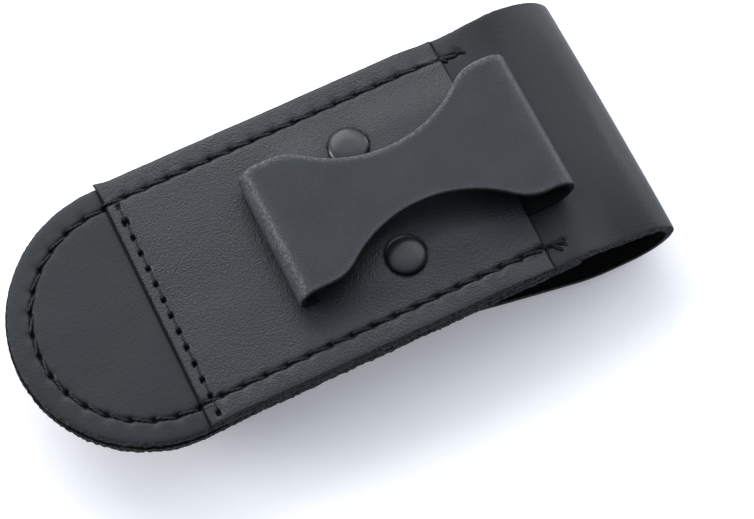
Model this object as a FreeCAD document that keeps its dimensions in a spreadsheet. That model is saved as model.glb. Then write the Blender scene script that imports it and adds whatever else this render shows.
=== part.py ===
import FreeCAD, Part
import math
import os
import Sketcher

# Leather belt sheath for a multi tool, lying on its front with the belt clip upwards.
#
# Every piece is drawn in one design frame, in millimetres:
#   x = 0  the lower edge of the stitched clip patch, +x towards the mouth and the fold
#   y = 0  the middle of the sheath
#   z = 0  the outer face of the back panel, +z towards the belt
# The Placement of each piece then moves the whole object on to its own origin, the
# middle of its bounding box at the surface that it rests on.

DIMENSIONS = {
    # outline and leather
    "half_width": 27.0,       # half the width of the sheath
    "round_centre": -1.0,     # centre of the round bottom end
    "mouth": 78.0,            # top edge of the pocket's front
    "fold_outer": 99.3,       # furthest point of the fold
    "strip_thick": 2.0,       # back panel, fold and flap: one strip
    "front_thick": 2.2,       # moulded front
    "patch_thick": 1.5,       # clip patch
    "patch_length": 72.0,
    "patch_rise": 0.7,        # patch standing up over the clip's base
    "patch_margin": 2.4,      # how far the raised part goes past the base
    # pocket
    "bulge_half": 21.0,       # half width of the moulded box at its root
    "cavity_half": 18.8,
    "pocket_depth": 9.2,
    "draft": 10.0,            # slope of the moulded sides, degrees
    "crown_round": 4.5,       # rounding of the moulded box, outside
    # fold and flap
    "soft_bend": 35.0,        # gentle bend before the fold, radius of the strip's middle
    "soft_turn": 15.0,        # how far the gentle bend turns, degrees
    "crease_turn": 35.0,      # where the fold starts and ends bending, degrees from each end
    "snap_gap": 3.6,          # room for the snap between front and flap
    "flap_tip": 29.0,
    "tip_half": 11.0,         # half width of the straight part of the flap's tip
    "taper_start": 82.0,
    "taper_end": 42.0,
    "taper_half": 19.5,       # half width of the flap at taper_end
    "tip_corner": 15.0,       # corner radius of the flap's tip
    # belt clip
    "steel": 1.3,
    "clip_top": 9.6,
    "clip_end": 82.2,         # bend end
    "clip_free": 24.5,        # free end
    "clip_half": 15.2,        # half width at the bend end
    "free_half": 14.1,        # half width at the free end
    "base_start": 37.5,
    "base_corner": 3.0,       # corner radius of the base
    "waist": 53.0,
    "waist_half": 6.5,
    "waist_round": 25.8,
    "shoulder_round": 9.2,
    "free_bend": 4.2,         # outer radius of the bend at the free end
    "lip_bend": 2.0,          # outer radius of the lip
    "lip_bottom": 2.2,
    "lip_tip": 28.4,
    # rivets
    "rivet_place": 47.3,
    "rivet_side": 12.5,
    "rivet_head": 4.0,        # radius
    "rivet_dome": 0.95,
    "rivet_shank": 1.5,
    "rivet_base": 0.7,        # head inside the pocket
    "rivet_bevel": 0.4,
    # snap
    "snap_place": 41.5,
    "cap_radius": 7.6,
    "cap_height": 1.3,
    "cap_edge": 1.9,          # width of the cap's rounded edge
    "cap_edge_round": 2.3,
    "barrel": 2.3,
    "flare": 0.9,             # end of the cap's barrel spread over the socket
    "flare_high": 0.5,
    "flare_bevel": 0.3,
    "socket_radius": 6.3,
    "socket_cavity": 4.3,
    "socket_tall": 3.0,
    "socket_bevel": 0.6,
    "rim_bevel": 0.7,
    "spring_wire": 0.35,
    "stud_radius": 6.2,
    "stud_bevel": 0.3,
    "stud_sheet": 0.4,
    "nub_radius": 3.2,
    "nub_neck": 2.7,
    "nub_gap": 0.75,          # from the stud's tip to the socket's floor
    "nub_wide": 0.7,          # from the stud's tip down to its widest place
    "nub_under": 1.1,         # from the stud's tip down to its neck
    "nub_bevel": 0.4,
    "post_head": 0.55,
    "post_bevel": 0.4,
    "sheet_metal": 0.45,
    # thread
    "seam_inset": 4.6,
    "seam_end": 76.0,
    "seam_pitch": 4.5,
    "row_place": 2.2,
    "row_start": 21.0,
    "row_end": -25.2,
    "row_pitch": 3.5,
    "thread": 0.45,           # radius
}

CLEAR = 0.1                   # radial room around a post in leather or sheet metal
PAST = 6.0                    # how far a cutting outline runs past the material
FIT = 0.05                    # room between two pressed parts of the snap
SHANK_FIT = 0.02              # room round a rivet's shank and round the snap's spring
STITCH_GAP = 0.6              # room at each end of a stitch, share of the thread's radius
STITCH_RISE = 0.7             # height of a stitch over the leather, share of the same
LEG_SHARE = 0.8               # radius of the thread inside a hole, share of the same
KNOT_DROP = 0.1               # the seam's two threads meet this far under the back panel
KNOT_GAP = 0.2                # each leg stops this far from where the threads meet

doc = FreeCAD.newDocument("sheath")
sheet = doc.addObject("Spreadsheet::Sheet", "sizes")


# ---------------------------------------------------------------- sizes

class Size:
    """A number together with the spreadsheet expression that gives it."""

    def __init__(self, value, text):
        self.value = value
        self.text = text

    def _join(self, other, sign, value):
        return Size(value, "(" + self.text + " " + sign + " " + other.text + ")")

    def __add__(self, other):
        other = as_size(other)
        return self._join(other, "+", self.value + other.value)

    def __sub__(self, other):
        other = as_size(other)
        return self._join(other, "-", self.value - other.value)

    def __mul__(self, other):
        other = as_size(other)
        return self._join(other, "*", self.value * other.value)

    def __truediv__(self, other):
        other = as_size(other)
        return self._join(other, "/", self.value / other.value)

    def __neg__(self):
        return as_size(0) - self

    __radd__ = __add__
    __rmul__ = __mul__

    def __rsub__(self, other):
        return as_size(other) - self


def as_size(number):
    if isinstance(number, Size):
        return number
    return Size(float(number), repr(float(number)))


def fill_sheet():
    for row, (alias, value) in enumerate(DIMENSIONS.items(), start=1):
        sheet.set("A" + str(row), alias)
        sheet.set("B" + str(row), str(value))
        sheet.setAlias("B" + str(row), alias)
    doc.recompute()


def dim(alias):
    return Size(float(sheet.get(alias)), "sizes." + alias)


def sine(angle):
    return Size(math.sin(math.radians(angle.value)), "sin(" + angle.text + " * 1 deg)")


def cosine(angle):
    return Size(math.cos(math.radians(angle.value)), "cos(" + angle.text + " * 1 deg)")


def root(number):
    return Size(math.sqrt(number.value), "sqrt(" + number.text + ")")


def bind(thing, prop, size):
    thing.setExpression(prop, as_size(size).text)


# ---------------------------------------------------------------- sketches and features

def origin_plane(body, role):
    return [part for part in body.Origin.OriginFeatures if part.Role == role][0]


def new_sketch(body, name, role):
    sketch = body.newObject("Sketcher::SketchObject", name)
    sketch.AttachmentSupport = [(origin_plane(body, role), "")]
    sketch.MapMode = "FlatFace"
    return sketch


def arc_between(start, end, radius, bulge):
    """The short arc from start to end; bulge is +1 to the left of the travel, -1 to the right.

    An outline that goes anticlockwise has its outward bulges on the right.
    """
    chord = end.sub(start)
    half = chord.Length / 2
    left = FreeCAD.Vector(-chord.y, chord.x, 0).normalize()
    inward = math.sqrt(max(radius * radius - half * half, 0.0))
    centre = start.add(end).multiply(0.5).sub(left.multiply(bulge * inward))
    first, last = (end, start) if bulge > 0 else (start, end)
    angle_first = math.atan2(first.y - centre.y, first.x - centre.x)
    angle_last = math.atan2(last.y - centre.y, last.x - centre.x)
    if angle_last < angle_first:
        angle_last += 2 * math.pi
    circle = Part.Circle(centre, FreeCAD.Vector(0, 0, 1), radius)
    return Part.ArcOfCircle(circle, angle_first, angle_last)


def hold_point(sketch, geometry, end, x, y):
    """Fix one end point of a sketch line or arc at a place given by two sizes."""
    for kind, place, axis in (("DistanceX", x, -2), ("DistanceY", y, -1)):
        if abs(place.value) < 1e-9:
            sketch.addConstraint(Sketcher.Constraint("PointOnObject", geometry, end, axis))
            continue
        number = sketch.addConstraint(Sketcher.Constraint(kind, -1, 1, geometry, end, place.value))
        bind(sketch, "Constraints[" + str(number) + "]", place)


def draw_loop(sketch, corners):
    """Closed outline. A corner is (x, y), reached by a line, or (x, y, radius, bulge), by an arc."""
    corners = [tuple(as_size(part) for part in corner[:3]) + corner[3:] for corner in corners]
    points = [FreeCAD.Vector(corner[0].value, corner[1].value, 0) for corner in corners]
    ends = []
    for index, corner in enumerate(corners):
        start = points[index - 1]
        end = points[index]
        if len(corner) == 2:
            number = sketch.addGeometry(Part.LineSegment(start, end), False)
            ends.append((number, 1, 2))
            continue
        number = sketch.addGeometry(arc_between(start, end, corner[2].value, corner[3]), False)
        ends.append((number, 2, 1) if corner[3] > 0 else (number, 1, 2))
        fixed = sketch.addConstraint(Sketcher.Constraint("Radius", number, corner[2].value))
        bind(sketch, "Constraints[" + str(fixed) + "]", corner[2])
    for index, corner in enumerate(corners):
        number, _, last = ends[index]
        following, first, _ = ends[(index + 1) % len(ends)]
        sketch.addConstraint(Sketcher.Constraint("Coincident", number, last, following, first))
        hold_point(sketch, number, last, corner[0], corner[1])


def draw_circle(sketch, x, y, radius):
    x, y, radius = as_size(x), as_size(y), as_size(radius)
    circle = Part.Circle(FreeCAD.Vector(x.value, y.value, 0), FreeCAD.Vector(0, 0, 1), radius.value)
    number = sketch.addGeometry(circle, False)
    fixed = sketch.addConstraint(Sketcher.Constraint("Radius", number, radius.value))
    bind(sketch, "Constraints[" + str(fixed) + "]", radius)
    hold_point(sketch, number, 3, x, y)


def new_body(name, x=0, y=0, z=0):
    body = doc.addObject("PartDesign::Body", name)
    body.Label = name
    place_piece(body, x, y, z)
    return body


def place_piece(piece, x=0, y=0, z=0):
    """Move a piece from the design frame to the object's own origin."""
    bind(piece, "Placement.Base.x", shift_x() + x)
    bind(piece, "Placement.Base.y", as_size(0) + y)
    bind(piece, "Placement.Base.z", lift() + z)


def pad(body, name, sketch, length, down=False, both=False, draft=None):
    feature = body.newObject("PartDesign::Pad", name)
    feature.Profile = sketch
    feature.Reversed = down
    feature.Midplane = both
    bind(feature, "Length", length)
    if draft is not None:
        bind(feature, "TaperAngle", draft)
    sketch.Visibility = False
    return feature


def pocket(body, name, sketch, length, up=False, both=False, draft=None):
    """Cut a sketch into its body, and check that something was cut."""
    doc.recompute()
    before = body.Shape.Volume
    feature = body.newObject("PartDesign::Pocket", name)
    feature.Profile = sketch
    feature.Reversed = up
    feature.Midplane = both
    bind(feature, "Length", length)
    if draft is not None:
        bind(feature, "TaperAngle", draft)
    doc.recompute()
    if body.Shape.Volume > before - 1e-6:
        raise RuntimeError(name + " cuts nothing")
    return feature


def fillet(body, name, radius, chosen):
    """Round the edges of the body's last feature that the function chosen accepts."""
    doc.recompute()
    base = body.Tip
    edges = ["Edge" + str(number) for number, edge in enumerate(base.Shape.Edges, start=1)
             if chosen(edge.BoundBox)]
    feature = body.newObject("PartDesign::Fillet", name)
    feature.Base = (base, edges)
    bind(feature, "Radius", radius)
    return feature


def ring_outside(sketch, corners, low, high, side):
    """An outline inside a rectangle, for cutting away all that lies outside the outline."""
    draw_loop(sketch, [(low, -side), (high, -side), (high, side), (low, side)])
    draw_loop(sketch, corners)


def turned(name, corners, x, y=0):
    """A piece turned about an upright axis; corners are (radius, height) in the design frame."""
    body = new_body(name, x, y)
    sketch = new_sketch(body, name + "_half", "XZ_Plane")
    draw_loop(sketch, corners)
    feature = body.newObject("PartDesign::Revolution", name + "_turn")
    feature.Profile = sketch
    feature.ReferenceAxis = (sketch, ["V_Axis"])
    feature.Angle = 360
    sketch.Visibility = False
    return body


# ---------------------------------------------------------------- shared places

def shift_x():
    return (dim("half_width") - dim("round_centre") - dim("fold_outer")) / 2


def front_face():
    """Outer face of the moulded front."""
    return -(dim("strip_thick") + dim("pocket_depth") + dim("front_thick"))


def flap_inner():
    return front_face() - dim("snap_gap")


def flap_outer():
    return flap_inner() - dim("strip_thick")


def lift():
    return dim("cap_height") - flap_outer()


def clip_centre():
    """Height of the clip's bend centre, half way between its outer faces."""
    return dim("clip_top") / 2


class Fold:
    """The fold of the strip: a gentle bend, then a round one, seen from the side."""

    def __init__(self):
        half = dim("strip_thick") / 2
        turn = dim("soft_turn")
        drop = -flap_outer() - dim("strip_thick")
        self.half = half
        self.radius = (drop - dim("soft_bend") * (1 - cosine(turn))) / (1 + cosine(turn))
        self.centre_x = dim("fold_outer") - self.radius - half
        self.centre_z = flap_outer() + half + self.radius
        self.start = self.centre_x - (dim("soft_bend") - self.radius) * sine(turn)

    def at(self, turn, side):
        """Point of the round bend; side is +1 on the outer face and -1 on the inner one."""
        reach = self.radius + self.half * side
        return self.centre_x + reach * sine(turn), self.centre_z + reach * cosine(turn)


# ---------------------------------------------------------------- leather

def long_outline(half, high):
    """Straight sides up to x = high, with a half-round bottom end."""
    centre = dim("round_centre")
    return [(high, -half), (high, half), (centre, half),
            (centre - half, 0, half, -1), (centre, -half, half, -1)]


def drill(body, name, holes, depth):
    """Straight holes through a flat piece; holes are (x, y, radius)."""
    sketch = new_sketch(body, name, "XY_Plane")
    for x, y, radius in holes:
        draw_circle(sketch, x, y, radius)
    return pocket(body, name + "_cut", sketch, depth, both=True)


def rivet_holes():
    radius = dim("rivet_shank") + CLEAR
    return [(dim("rivet_place"), dim("rivet_side") * side, radius) for side in (-1, 1)]


def strip_profile(body, name, corners, width):
    sketch = new_sketch(body, name, "XZ_Plane")
    draw_loop(sketch, corners)
    return pad(body, name + "_pad", sketch, width, both=True)


def back_panel():
    fold = Fold()
    body = new_body("back_panel")
    thick = dim("strip_thick")
    bend = dim("soft_bend")
    half = fold.half
    low = dim("round_centre") - dim("half_width")
    crease = dim("crease_turn")
    turn = dim("soft_turn")
    strip_profile(body, "back_side", [
        (low, -thick), (low, 0), (fold.start, 0),
        (*fold.at(turn, 1), bend + half, 1),
        (*fold.at(crease, 1), fold.radius + half, 1),
        fold.at(crease, -1),
        (*fold.at(turn, -1), fold.radius - half, -1),
        (fold.start, -thick, bend - half, -1)], dim("half_width") * 2)
    sketch = new_sketch(body, "back_outline", "XY_Plane")
    ring_outside(sketch, long_outline(dim("half_width"), dim("fold_outer") + PAST), low - PAST,
                 dim("fold_outer") + 2 * PAST, dim("half_width") + PAST)
    pocket(body, "back_trim", sketch, thick * 4, both=True)
    drill(body, "back_rivet_holes", rivet_holes(), thick * 4)


def flap_fold():
    """The middle of the fold, between the two lines where the strip bends as it opens."""
    fold = Fold()
    body = new_body("flap_fold")
    first = dim("crease_turn")
    last = 180 - first
    mid = as_size(90)
    outer = fold.radius + fold.half
    inner = fold.radius - fold.half
    strip_profile(body, "fold_side", [
        fold.at(first, 1), (*fold.at(mid, 1), outer, 1), (*fold.at(last, 1), outer, 1),
        fold.at(last, -1), (*fold.at(mid, -1), inner, -1), (*fold.at(first, -1), inner, -1)],
        dim("half_width") * 2)


def flap_outline():
    """Tongue that narrows from the fold to a rounded tip."""
    wide = dim("half_width")
    narrow = dim("taper_half")
    corner = dim("tip_corner")
    tip = dim("flap_tip")
    high = dim("fold_outer") + PAST
    start = dim("taper_start")
    end = dim("taper_end")
    tip_half = dim("tip_half")
    return [(high, -wide), (high, wide), (start, wide), (end, narrow), (tip, tip_half, corner, -1),
            (tip, -tip_half), (end, -narrow, corner, -1), (start, -wide)]


def flap():
    fold = Fold()
    body = new_body("flap")
    last = 180 - dim("crease_turn")
    tip = dim("flap_tip")
    strip_profile(body, "flap_side", [
        fold.at(last, 1), (fold.centre_x, flap_outer(), fold.radius + fold.half, 1),
        (tip, flap_outer()), (tip, flap_inner()), (fold.centre_x, flap_inner()),
        (*fold.at(last, -1), fold.radius - fold.half, -1)], dim("half_width") * 2)
    sketch = new_sketch(body, "flap_plan", "XY_Plane")
    ring_outside(sketch, flap_outline(), tip - PAST, dim("fold_outer") + 2 * PAST,
                 dim("half_width") + PAST)
    depth = -flap_outer() * 4
    pocket(body, "flap_trim", sketch, depth, both=True)
    drill(body, "flap_snap_hole", [(dim("snap_place"), 0, dim("barrel") + CLEAR)], depth)


def pocket_front():
    """Moulded front: a flat flange under the seam and a box-shaped bulge, open at the mouth."""
    thick = dim("front_thick")
    deep = dim("pocket_depth")
    body = new_body("pocket_front", z=-dim("strip_thick"))
    flange = new_sketch(body, "flange_outline", "XY_Plane")
    draw_loop(flange, long_outline(dim("half_width"), dim("mouth")))
    pad(body, "flange", flange, thick, down=True)
    bulge = new_sketch(body, "bulge_outline", "XY_Plane")
    draw_loop(bulge, long_outline(dim("bulge_half"), dim("mouth")))
    pad(body, "bulge", bulge, deep + thick, down=True, draft=-dim("draft"))
    # the slope also tilts the mouth end, so the bulge is made square with the mouth again
    square = new_sketch(body, "mouth_cap_outline", "YZ_Plane")
    crown = -(deep + thick)
    lean = (deep + thick) * sine(dim("draft")) / cosine(dim("draft"))
    reach = dim("bulge_half")
    draw_loop(square, [(-reach, 0), (-(reach - lean), crown), (reach - lean, crown), (reach, 0)])
    square.AttachmentOffset = FreeCAD.Placement(
        FreeCAD.Vector(0, 0, dim("mouth").value), FreeCAD.Rotation())
    bind(square, "AttachmentOffset.Base.z", dim("mouth"))
    pad(body, "mouth_cap", square, lean * 2, down=True)
    level = crown.value
    fillet(body, "bulge_round", dim("crown_round"),
           lambda box: abs(box.ZMax - level) < 1e-3 and box.XLength > 1e-3)
    cavity = new_sketch(body, "cavity_outline", "XY_Plane")
    draw_loop(cavity, long_outline(dim("cavity_half"), dim("mouth") + 2 * PAST))
    pocket(body, "cavity", cavity, deep, draft=-dim("draft"))
    hole = dim("barrel") + CLEAR
    drill(body, "stud_hole", [(dim("snap_place"), 0, hole)], (deep + thick) * 4)


def clip_patch():
    body = new_body("clip_patch")
    half = dim("half_width")
    long = dim("patch_length")
    flat = new_sketch(body, "patch_outline", "XY_Plane")
    draw_loop(flat, [(0, -half), (long, -half), (long, half), (0, half)])
    pad(body, "patch_flat", flat, dim("patch_thick"))
    margin = dim("patch_margin")
    side = dim("clip_half") + margin
    raised = new_sketch(body, "raised_outline", "XY_Plane")
    start = dim("base_start") - margin
    draw_loop(raised, [(start, -side), (long, -side), (long, side), (start, side)])
    pad(body, "patch_raised", raised, dim("patch_thick") + dim("patch_rise"))
    room = new_sketch(body, "base_room_outline", "XY_Plane")
    near = dim("base_start") - CLEAR
    wide = dim("clip_half") + CLEAR
    draw_loop(room, [(near, -wide), (long + PAST, -wide), (long + PAST, wide), (near, wide)])
    pocket(body, "base_room", room, dim("steel"), up=True)
    drill(body, "patch_rivet_holes", rivet_holes(), dim("clip_top") * 2)


# ---------------------------------------------------------------- belt clip

def clip_base():
    """Base of the spring clip: a plate under the patch and the lower half of the bend."""
    body = new_body("clip_base")
    steel = dim("steel")
    end = dim("clip_end")
    middle = clip_centre()
    bend = end - middle
    start = dim("base_start")
    strip_profile(body, "base_side", [
        (start, steel), (start, 0), (bend, 0), (end, middle, middle, -1), (end - steel, middle),
        (bend, steel, middle - steel, 1)], dim("clip_half") * 2)
    near = start.value
    fillet(body, "base_corners", dim("base_corner"),
           lambda box: box.XMax < near + 1e-3 and box.YLength < 1e-3)
    drill(body, "base_rivet_holes", rivet_holes(), dim("clip_top") * 2)


def clip_outline():
    """Bow-tie plan of the arm: two wide ends joined by a narrow waist, all arcs tangent."""
    waist = dim("waist")
    hollow = dim("waist_round")
    corner = dim("shoulder_round")
    hub = dim("waist_half") + hollow
    past = dim("clip_end") + PAST
    near = dim("clip_free") - PAST

    def shoulder(half, side):
        rise = hub - (half - corner)
        across = root((hollow + corner) * (hollow + corner) - rise * rise)
        centre = waist + across * side
        share = hollow / (hollow + corner)
        return centre, waist + across * side * share, hub - rise * share

    free_x, free_touch_x, free_touch_y = shoulder(dim("free_half"), -1)
    bend_x, bend_touch_x, bend_touch_y = shoulder(dim("clip_half"), 1)
    wide = dim("clip_half")
    slim = dim("free_half")
    return [
        (near, -slim), (free_x, -slim), (free_touch_x, -free_touch_y, corner, -1),
        (bend_touch_x, -bend_touch_y, hollow, 1), (bend_x, -wide, corner, -1), (past, -wide),
        (past, wide), (bend_x, wide), (bend_touch_x, bend_touch_y, corner, -1),
        (free_touch_x, free_touch_y, hollow, 1), (free_x, slim, corner, -1), (near, slim)]


def clip_arm():
    """Sprung arm of the clip, from the upper half of the bend to the rolled lip."""
    body = new_body("clip_arm")
    steel = dim("steel")
    top = dim("clip_top")
    end = dim("clip_end")
    middle = clip_centre()
    bend = end - middle
    free = dim("clip_free")
    roll = dim("free_bend")
    lip = dim("lip_bend")
    low = dim("lip_bottom")
    strip_profile(body, "arm_side", [
        (end, middle), (bend, top, middle, -1), (free + roll, top), (free, top - roll, roll, -1),
        (free, low + lip), (free + lip, low, lip, -1), (dim("lip_tip"), low),
        (dim("lip_tip"), low + steel), (free + lip, low + steel),
        (free + steel, low + lip, lip - steel, 1), (free + steel, top - roll),
        (free + roll, top - steel, roll - steel, 1), (bend, top - steel),
        (end - steel, middle, middle - steel, 1)], dim("clip_half") * 2)
    sketch = new_sketch(body, "arm_plan", "XY_Plane")
    ring_outside(sketch, clip_outline(), free - 2 * PAST, end + 2 * PAST, dim("clip_half") + PAST)
    pocket(body, "arm_trim", sketch, top * 4, both=True)


# ---------------------------------------------------------------- rivets and snap

def rivet_caps_and_posts():
    """Two double-cap rivets through the patch, the clip's base and the back panel."""
    head = dim("rivet_head")
    shank = dim("rivet_shank")
    seat = dim("patch_thick") + dim("patch_rise")
    crown = seat + dim("rivet_dome")
    inner = -dim("strip_thick")
    bore = shank + SHANK_FIT
    base = inner - dim("rivet_base")
    dome = (head * head + dim("rivet_dome") * dim("rivet_dome")) / (dim("rivet_dome") * 2)
    tip = seat + dim("rivet_dome") / 2
    for name, side in (("rivet_left", 1), ("rivet_right", -1)):
        place = dim("rivet_side") * side
        turned(name + "_cap", [(bore, seat), (head, seat), (0, crown, dome, -1), (0, tip + FIT),
                               (bore, tip + FIT)], dim("rivet_place"), place)
        turned(name + "_post", [(0, tip), (0, base), (head - dim("rivet_bevel"), base), (head, inner),
                                (shank, inner), (shank, tip)], dim("rivet_place"), place)


def snap_on_flap():
    """Cap, socket and spring ring, which ride on the flap."""
    place = dim("snap_place")
    outer = flap_outer()
    inner = flap_inner()
    sheet_metal = dim("sheet_metal")
    wide = dim("cap_radius")
    barrel = dim("barrel")
    floor = inner + sheet_metal
    face = outer - dim("cap_height")
    flare = barrel + dim("flare")
    over = floor + dim("flare_high")
    turned("snap_cap", [
        (0, face), (wide - dim("cap_edge"), face), (wide, outer, dim("cap_edge_round"), -1),
        (barrel, outer), (barrel, floor + FIT), (flare, floor + FIT),
        (flare - dim("flare_bevel"), over), (0, over)], place)
    radius = dim("socket_radius")
    cavity = dim("socket_cavity")
    rim = inner + dim("socket_tall")
    hole = barrel + FIT
    bevel = dim("socket_bevel")
    rim_bevel = dim("rim_bevel")
    turned("snap_socket", [
        (hole, inner), (radius - bevel, inner), (radius, inner + bevel), (radius, rim - rim_bevel),
        (radius - rim_bevel, rim), (cavity, rim), (cavity, floor), (hole, floor)], place)
    wire = dim("spring_wire")
    ring = doc.addObject("Part::Torus", "snap_spring")
    ring.Label = "snap_spring"
    bind(ring, "Radius1", cavity - wire - SHANK_FIT)
    bind(ring, "Radius2", wire)
    place_piece(ring, place, 0, inner + dim("socket_tall") / 2)


def snap_on_pocket():
    """Stud and its post, set through the moulded front."""
    place = dim("snap_place")
    face = front_face()
    inside = face + dim("front_thick")
    sheet_metal = dim("sheet_metal")
    radius = dim("stud_radius")
    nub = dim("nub_radius")
    neck = dim("nub_neck")
    barrel = dim("barrel")
    base = face - sheet_metal
    tip = flap_inner() + sheet_metal + dim("nub_gap")
    under = tip + dim("stud_sheet")
    turned("snap_stud", [
        (barrel + FIT, face), (radius, face), (radius - dim("stud_bevel"), base), (neck, base),
        (neck, tip + dim("nub_under")), (nub, tip + dim("nub_wide")), (nub - dim("nub_bevel"), tip),
        (0, tip), (0, under), (barrel + FIT, under)], place)
    head = inside + dim("post_head")
    bevel = dim("post_bevel")
    turned("snap_post", [
        (0, head), (radius - bevel * 2, head), (radius - bevel, inside),
        (barrel, inside), (barrel, under + FIT), (0, under + FIT)], place)


# ---------------------------------------------------------------- thread

def seam_route():
    """Holes of the seam that goes up one side, round the bottom end and up the other side."""
    radius = dim("half_width").value - dim("seam_inset").value
    centre = dim("round_centre").value
    straight = dim("seam_end").value - centre
    total = 2 * straight + math.pi * radius
    count = round(total / dim("seam_pitch").value)
    holes = []
    for number in range(count + 1):
        run = total * number / count
        if run <= straight:
            holes.append((dim("seam_end").value - run, radius))
        elif run < total - straight:
            angle = (run - straight) / radius
            holes.append((centre - radius * math.sin(angle), radius * math.cos(angle)))
        else:
            holes.append((dim("seam_end").value - (total - run), -radius))
    return holes


def row_route():
    start = dim("row_start").value
    end = dim("row_end").value
    count = round((start - end) / dim("row_pitch").value)
    return [(dim("row_place").value, start + (end - start) * number / count)
            for number in range(count + 1)]


def thread_piece(name, holes, surface, depth, outward):
    """One stitch for each pair of holes: a bar on the leather and a leg down its first hole."""
    radius = dim("thread").value
    gap = radius * STITCH_GAP
    rise = outward * radius * STITCH_RISE
    stitches = []
    for (x0, y0), (x1, y1) in zip(holes, holes[1:]):
        start = FreeCAD.Vector(x0, y0, surface(x0) + rise)
        end = FreeCAD.Vector(x1, y1, surface(x1) + rise)
        along = end.sub(start).normalize()
        start = start.add(FreeCAD.Vector(along).multiply(gap))
        end = end.sub(FreeCAD.Vector(along).multiply(gap))
        bar = Part.makeCylinder(radius, end.sub(start).Length, start, along)
        knee = Part.makeSphere(radius, start)
        leg = Part.makeCylinder(radius * LEG_SHARE, abs(start.z - depth), start,
                                FreeCAD.Vector(0, 0, -outward))
        stitches.append(bar.fuse([knee, leg]).removeSplitter())
    piece = doc.addObject("Part::Feature", name)
    piece.Label = name
    piece.Shape = Part.Compound([solid for stitch in stitches for solid in stitch.Solids])
    place_piece(piece)


def threads():
    strip = dim("strip_thick").value
    front = dim("front_thick").value
    patch = dim("patch_thick").value
    seam = seam_route()
    meet = -strip - KNOT_DROP
    thread_piece("seam_needle_thread", seam, lambda x: patch if x > 0 else 0.0, meet + KNOT_GAP, 1)
    thread_piece("seam_bobbin_thread", seam, lambda x: -strip - front, meet - KNOT_GAP, -1)
    row = row_route()
    middle = -strip / 2
    thread_piece("row_needle_thread", row, lambda x: patch, middle + KNOT_GAP, 1)
    thread_piece("row_bobbin_thread", row, lambda x: -strip, middle - KNOT_GAP, -1)


# ---------------------------------------------------------------- build and write

def pieces():
    kinds = ("PartDesign::Body", "Part::Torus", "Part::Feature")
    return [thing for thing in doc.Objects if thing.TypeId in kinds]


def check_and_write():
    for thing in doc.Objects:
        if "Invalid" in thing.State or "Error" in thing.State:
            raise RuntimeError(thing.Name + " did not compute")
    for piece in pieces():
        if piece.Shape.isNull() or not piece.Shape.isValid():
            raise RuntimeError(piece.Label + " has no valid shape")
    os.makedirs("parts", exist_ok=True)
    for piece in pieces():
        piece.Shape.exportStep(os.path.join("parts", piece.Label + ".step"))
        print(piece.Label, len(piece.Shape.Solids), "solids", round(piece.Shape.Volume, 1), "mm3")


fill_sheet()
back_panel()
flap_fold()
flap()
pocket_front()
clip_patch()
clip_base()
clip_arm()
rivet_caps_and_posts()
snap_on_flap()
snap_on_pocket()
threads()
doc.recompute()
check_and_write()
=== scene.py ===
"""Black leather belt sheath for a multi tool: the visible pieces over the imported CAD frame.

Shapes are worked out in design millimetres, as part.py has them: x runs from the patch's lower
edge to the mouth, y across, z out of the belt side of the back panel. placed() turns them into
the row frame in metres.
"""

import math

import bmesh
import bpy
import numpy as np
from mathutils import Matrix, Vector, noise


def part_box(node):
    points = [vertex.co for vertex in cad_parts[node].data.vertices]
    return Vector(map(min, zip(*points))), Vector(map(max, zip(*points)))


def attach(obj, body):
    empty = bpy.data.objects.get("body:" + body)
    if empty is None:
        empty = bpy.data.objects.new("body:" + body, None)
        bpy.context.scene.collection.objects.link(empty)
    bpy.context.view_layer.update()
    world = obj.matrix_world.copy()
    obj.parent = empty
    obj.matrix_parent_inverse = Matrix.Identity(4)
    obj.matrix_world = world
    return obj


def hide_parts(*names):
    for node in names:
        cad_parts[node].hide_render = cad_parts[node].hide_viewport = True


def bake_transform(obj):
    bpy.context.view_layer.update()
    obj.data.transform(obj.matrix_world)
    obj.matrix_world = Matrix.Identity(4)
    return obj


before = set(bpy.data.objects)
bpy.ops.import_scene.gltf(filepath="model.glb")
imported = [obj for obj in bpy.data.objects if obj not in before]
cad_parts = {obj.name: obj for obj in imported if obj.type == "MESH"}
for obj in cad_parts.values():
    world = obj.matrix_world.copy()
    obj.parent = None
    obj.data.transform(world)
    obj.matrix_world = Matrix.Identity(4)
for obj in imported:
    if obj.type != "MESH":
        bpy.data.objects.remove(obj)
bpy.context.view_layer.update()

MM = 0.001


def node_box(name):
    """Lowest and highest corner of a CAD node, in millimetres of the row frame."""
    low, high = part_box(name)
    return np.array(low) / MM, np.array(high) / MM


PATCH_LOW, PATCH_HIGH = node_box("clip_patch")
PANEL_LOW, PANEL_HIGH = node_box("back_panel")
FRONT_LOW, FRONT_HIGH = node_box("pocket_front")
FLAP_LOW, _ = node_box("flap")
_, FOLD_HIGH = node_box("flap_fold")
ORIGIN = np.array([PATCH_LOW[0], 0.0, PANEL_HIGH[2]])

# Strap, pocket front and patch
HALF = PANEL_HIGH[1]
ROUND_X = PANEL_LOW[0] - ORIGIN[0] + HALF
MOUTH = FRONT_HIGH[0] - ORIGIN[0]
STRAP = 2.0
FRONT = 2.2
PATCH = 1.5
PATCH_LONG = PATCH_HIGH[0] - PATCH_LOW[0]
PATCH_RISE = PATCH_HIGH[2] - PANEL_HIGH[2] - PATCH
CROWN_Z = FRONT_LOW[2] - ORIGIN[2]
FLAP_Z = FLAP_LOW[2] - ORIGIN[2]
FLAP_TIP = FLAP_LOW[0] - ORIGIN[0]
FOLD_END = FOLD_HIGH[0] - ORIGIN[0]
EDGE_ROUND = 0.35
LOW_ROUND = 0.3
ROUND_STEP = 0.018
PATCH_RIM = 0.3

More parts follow.
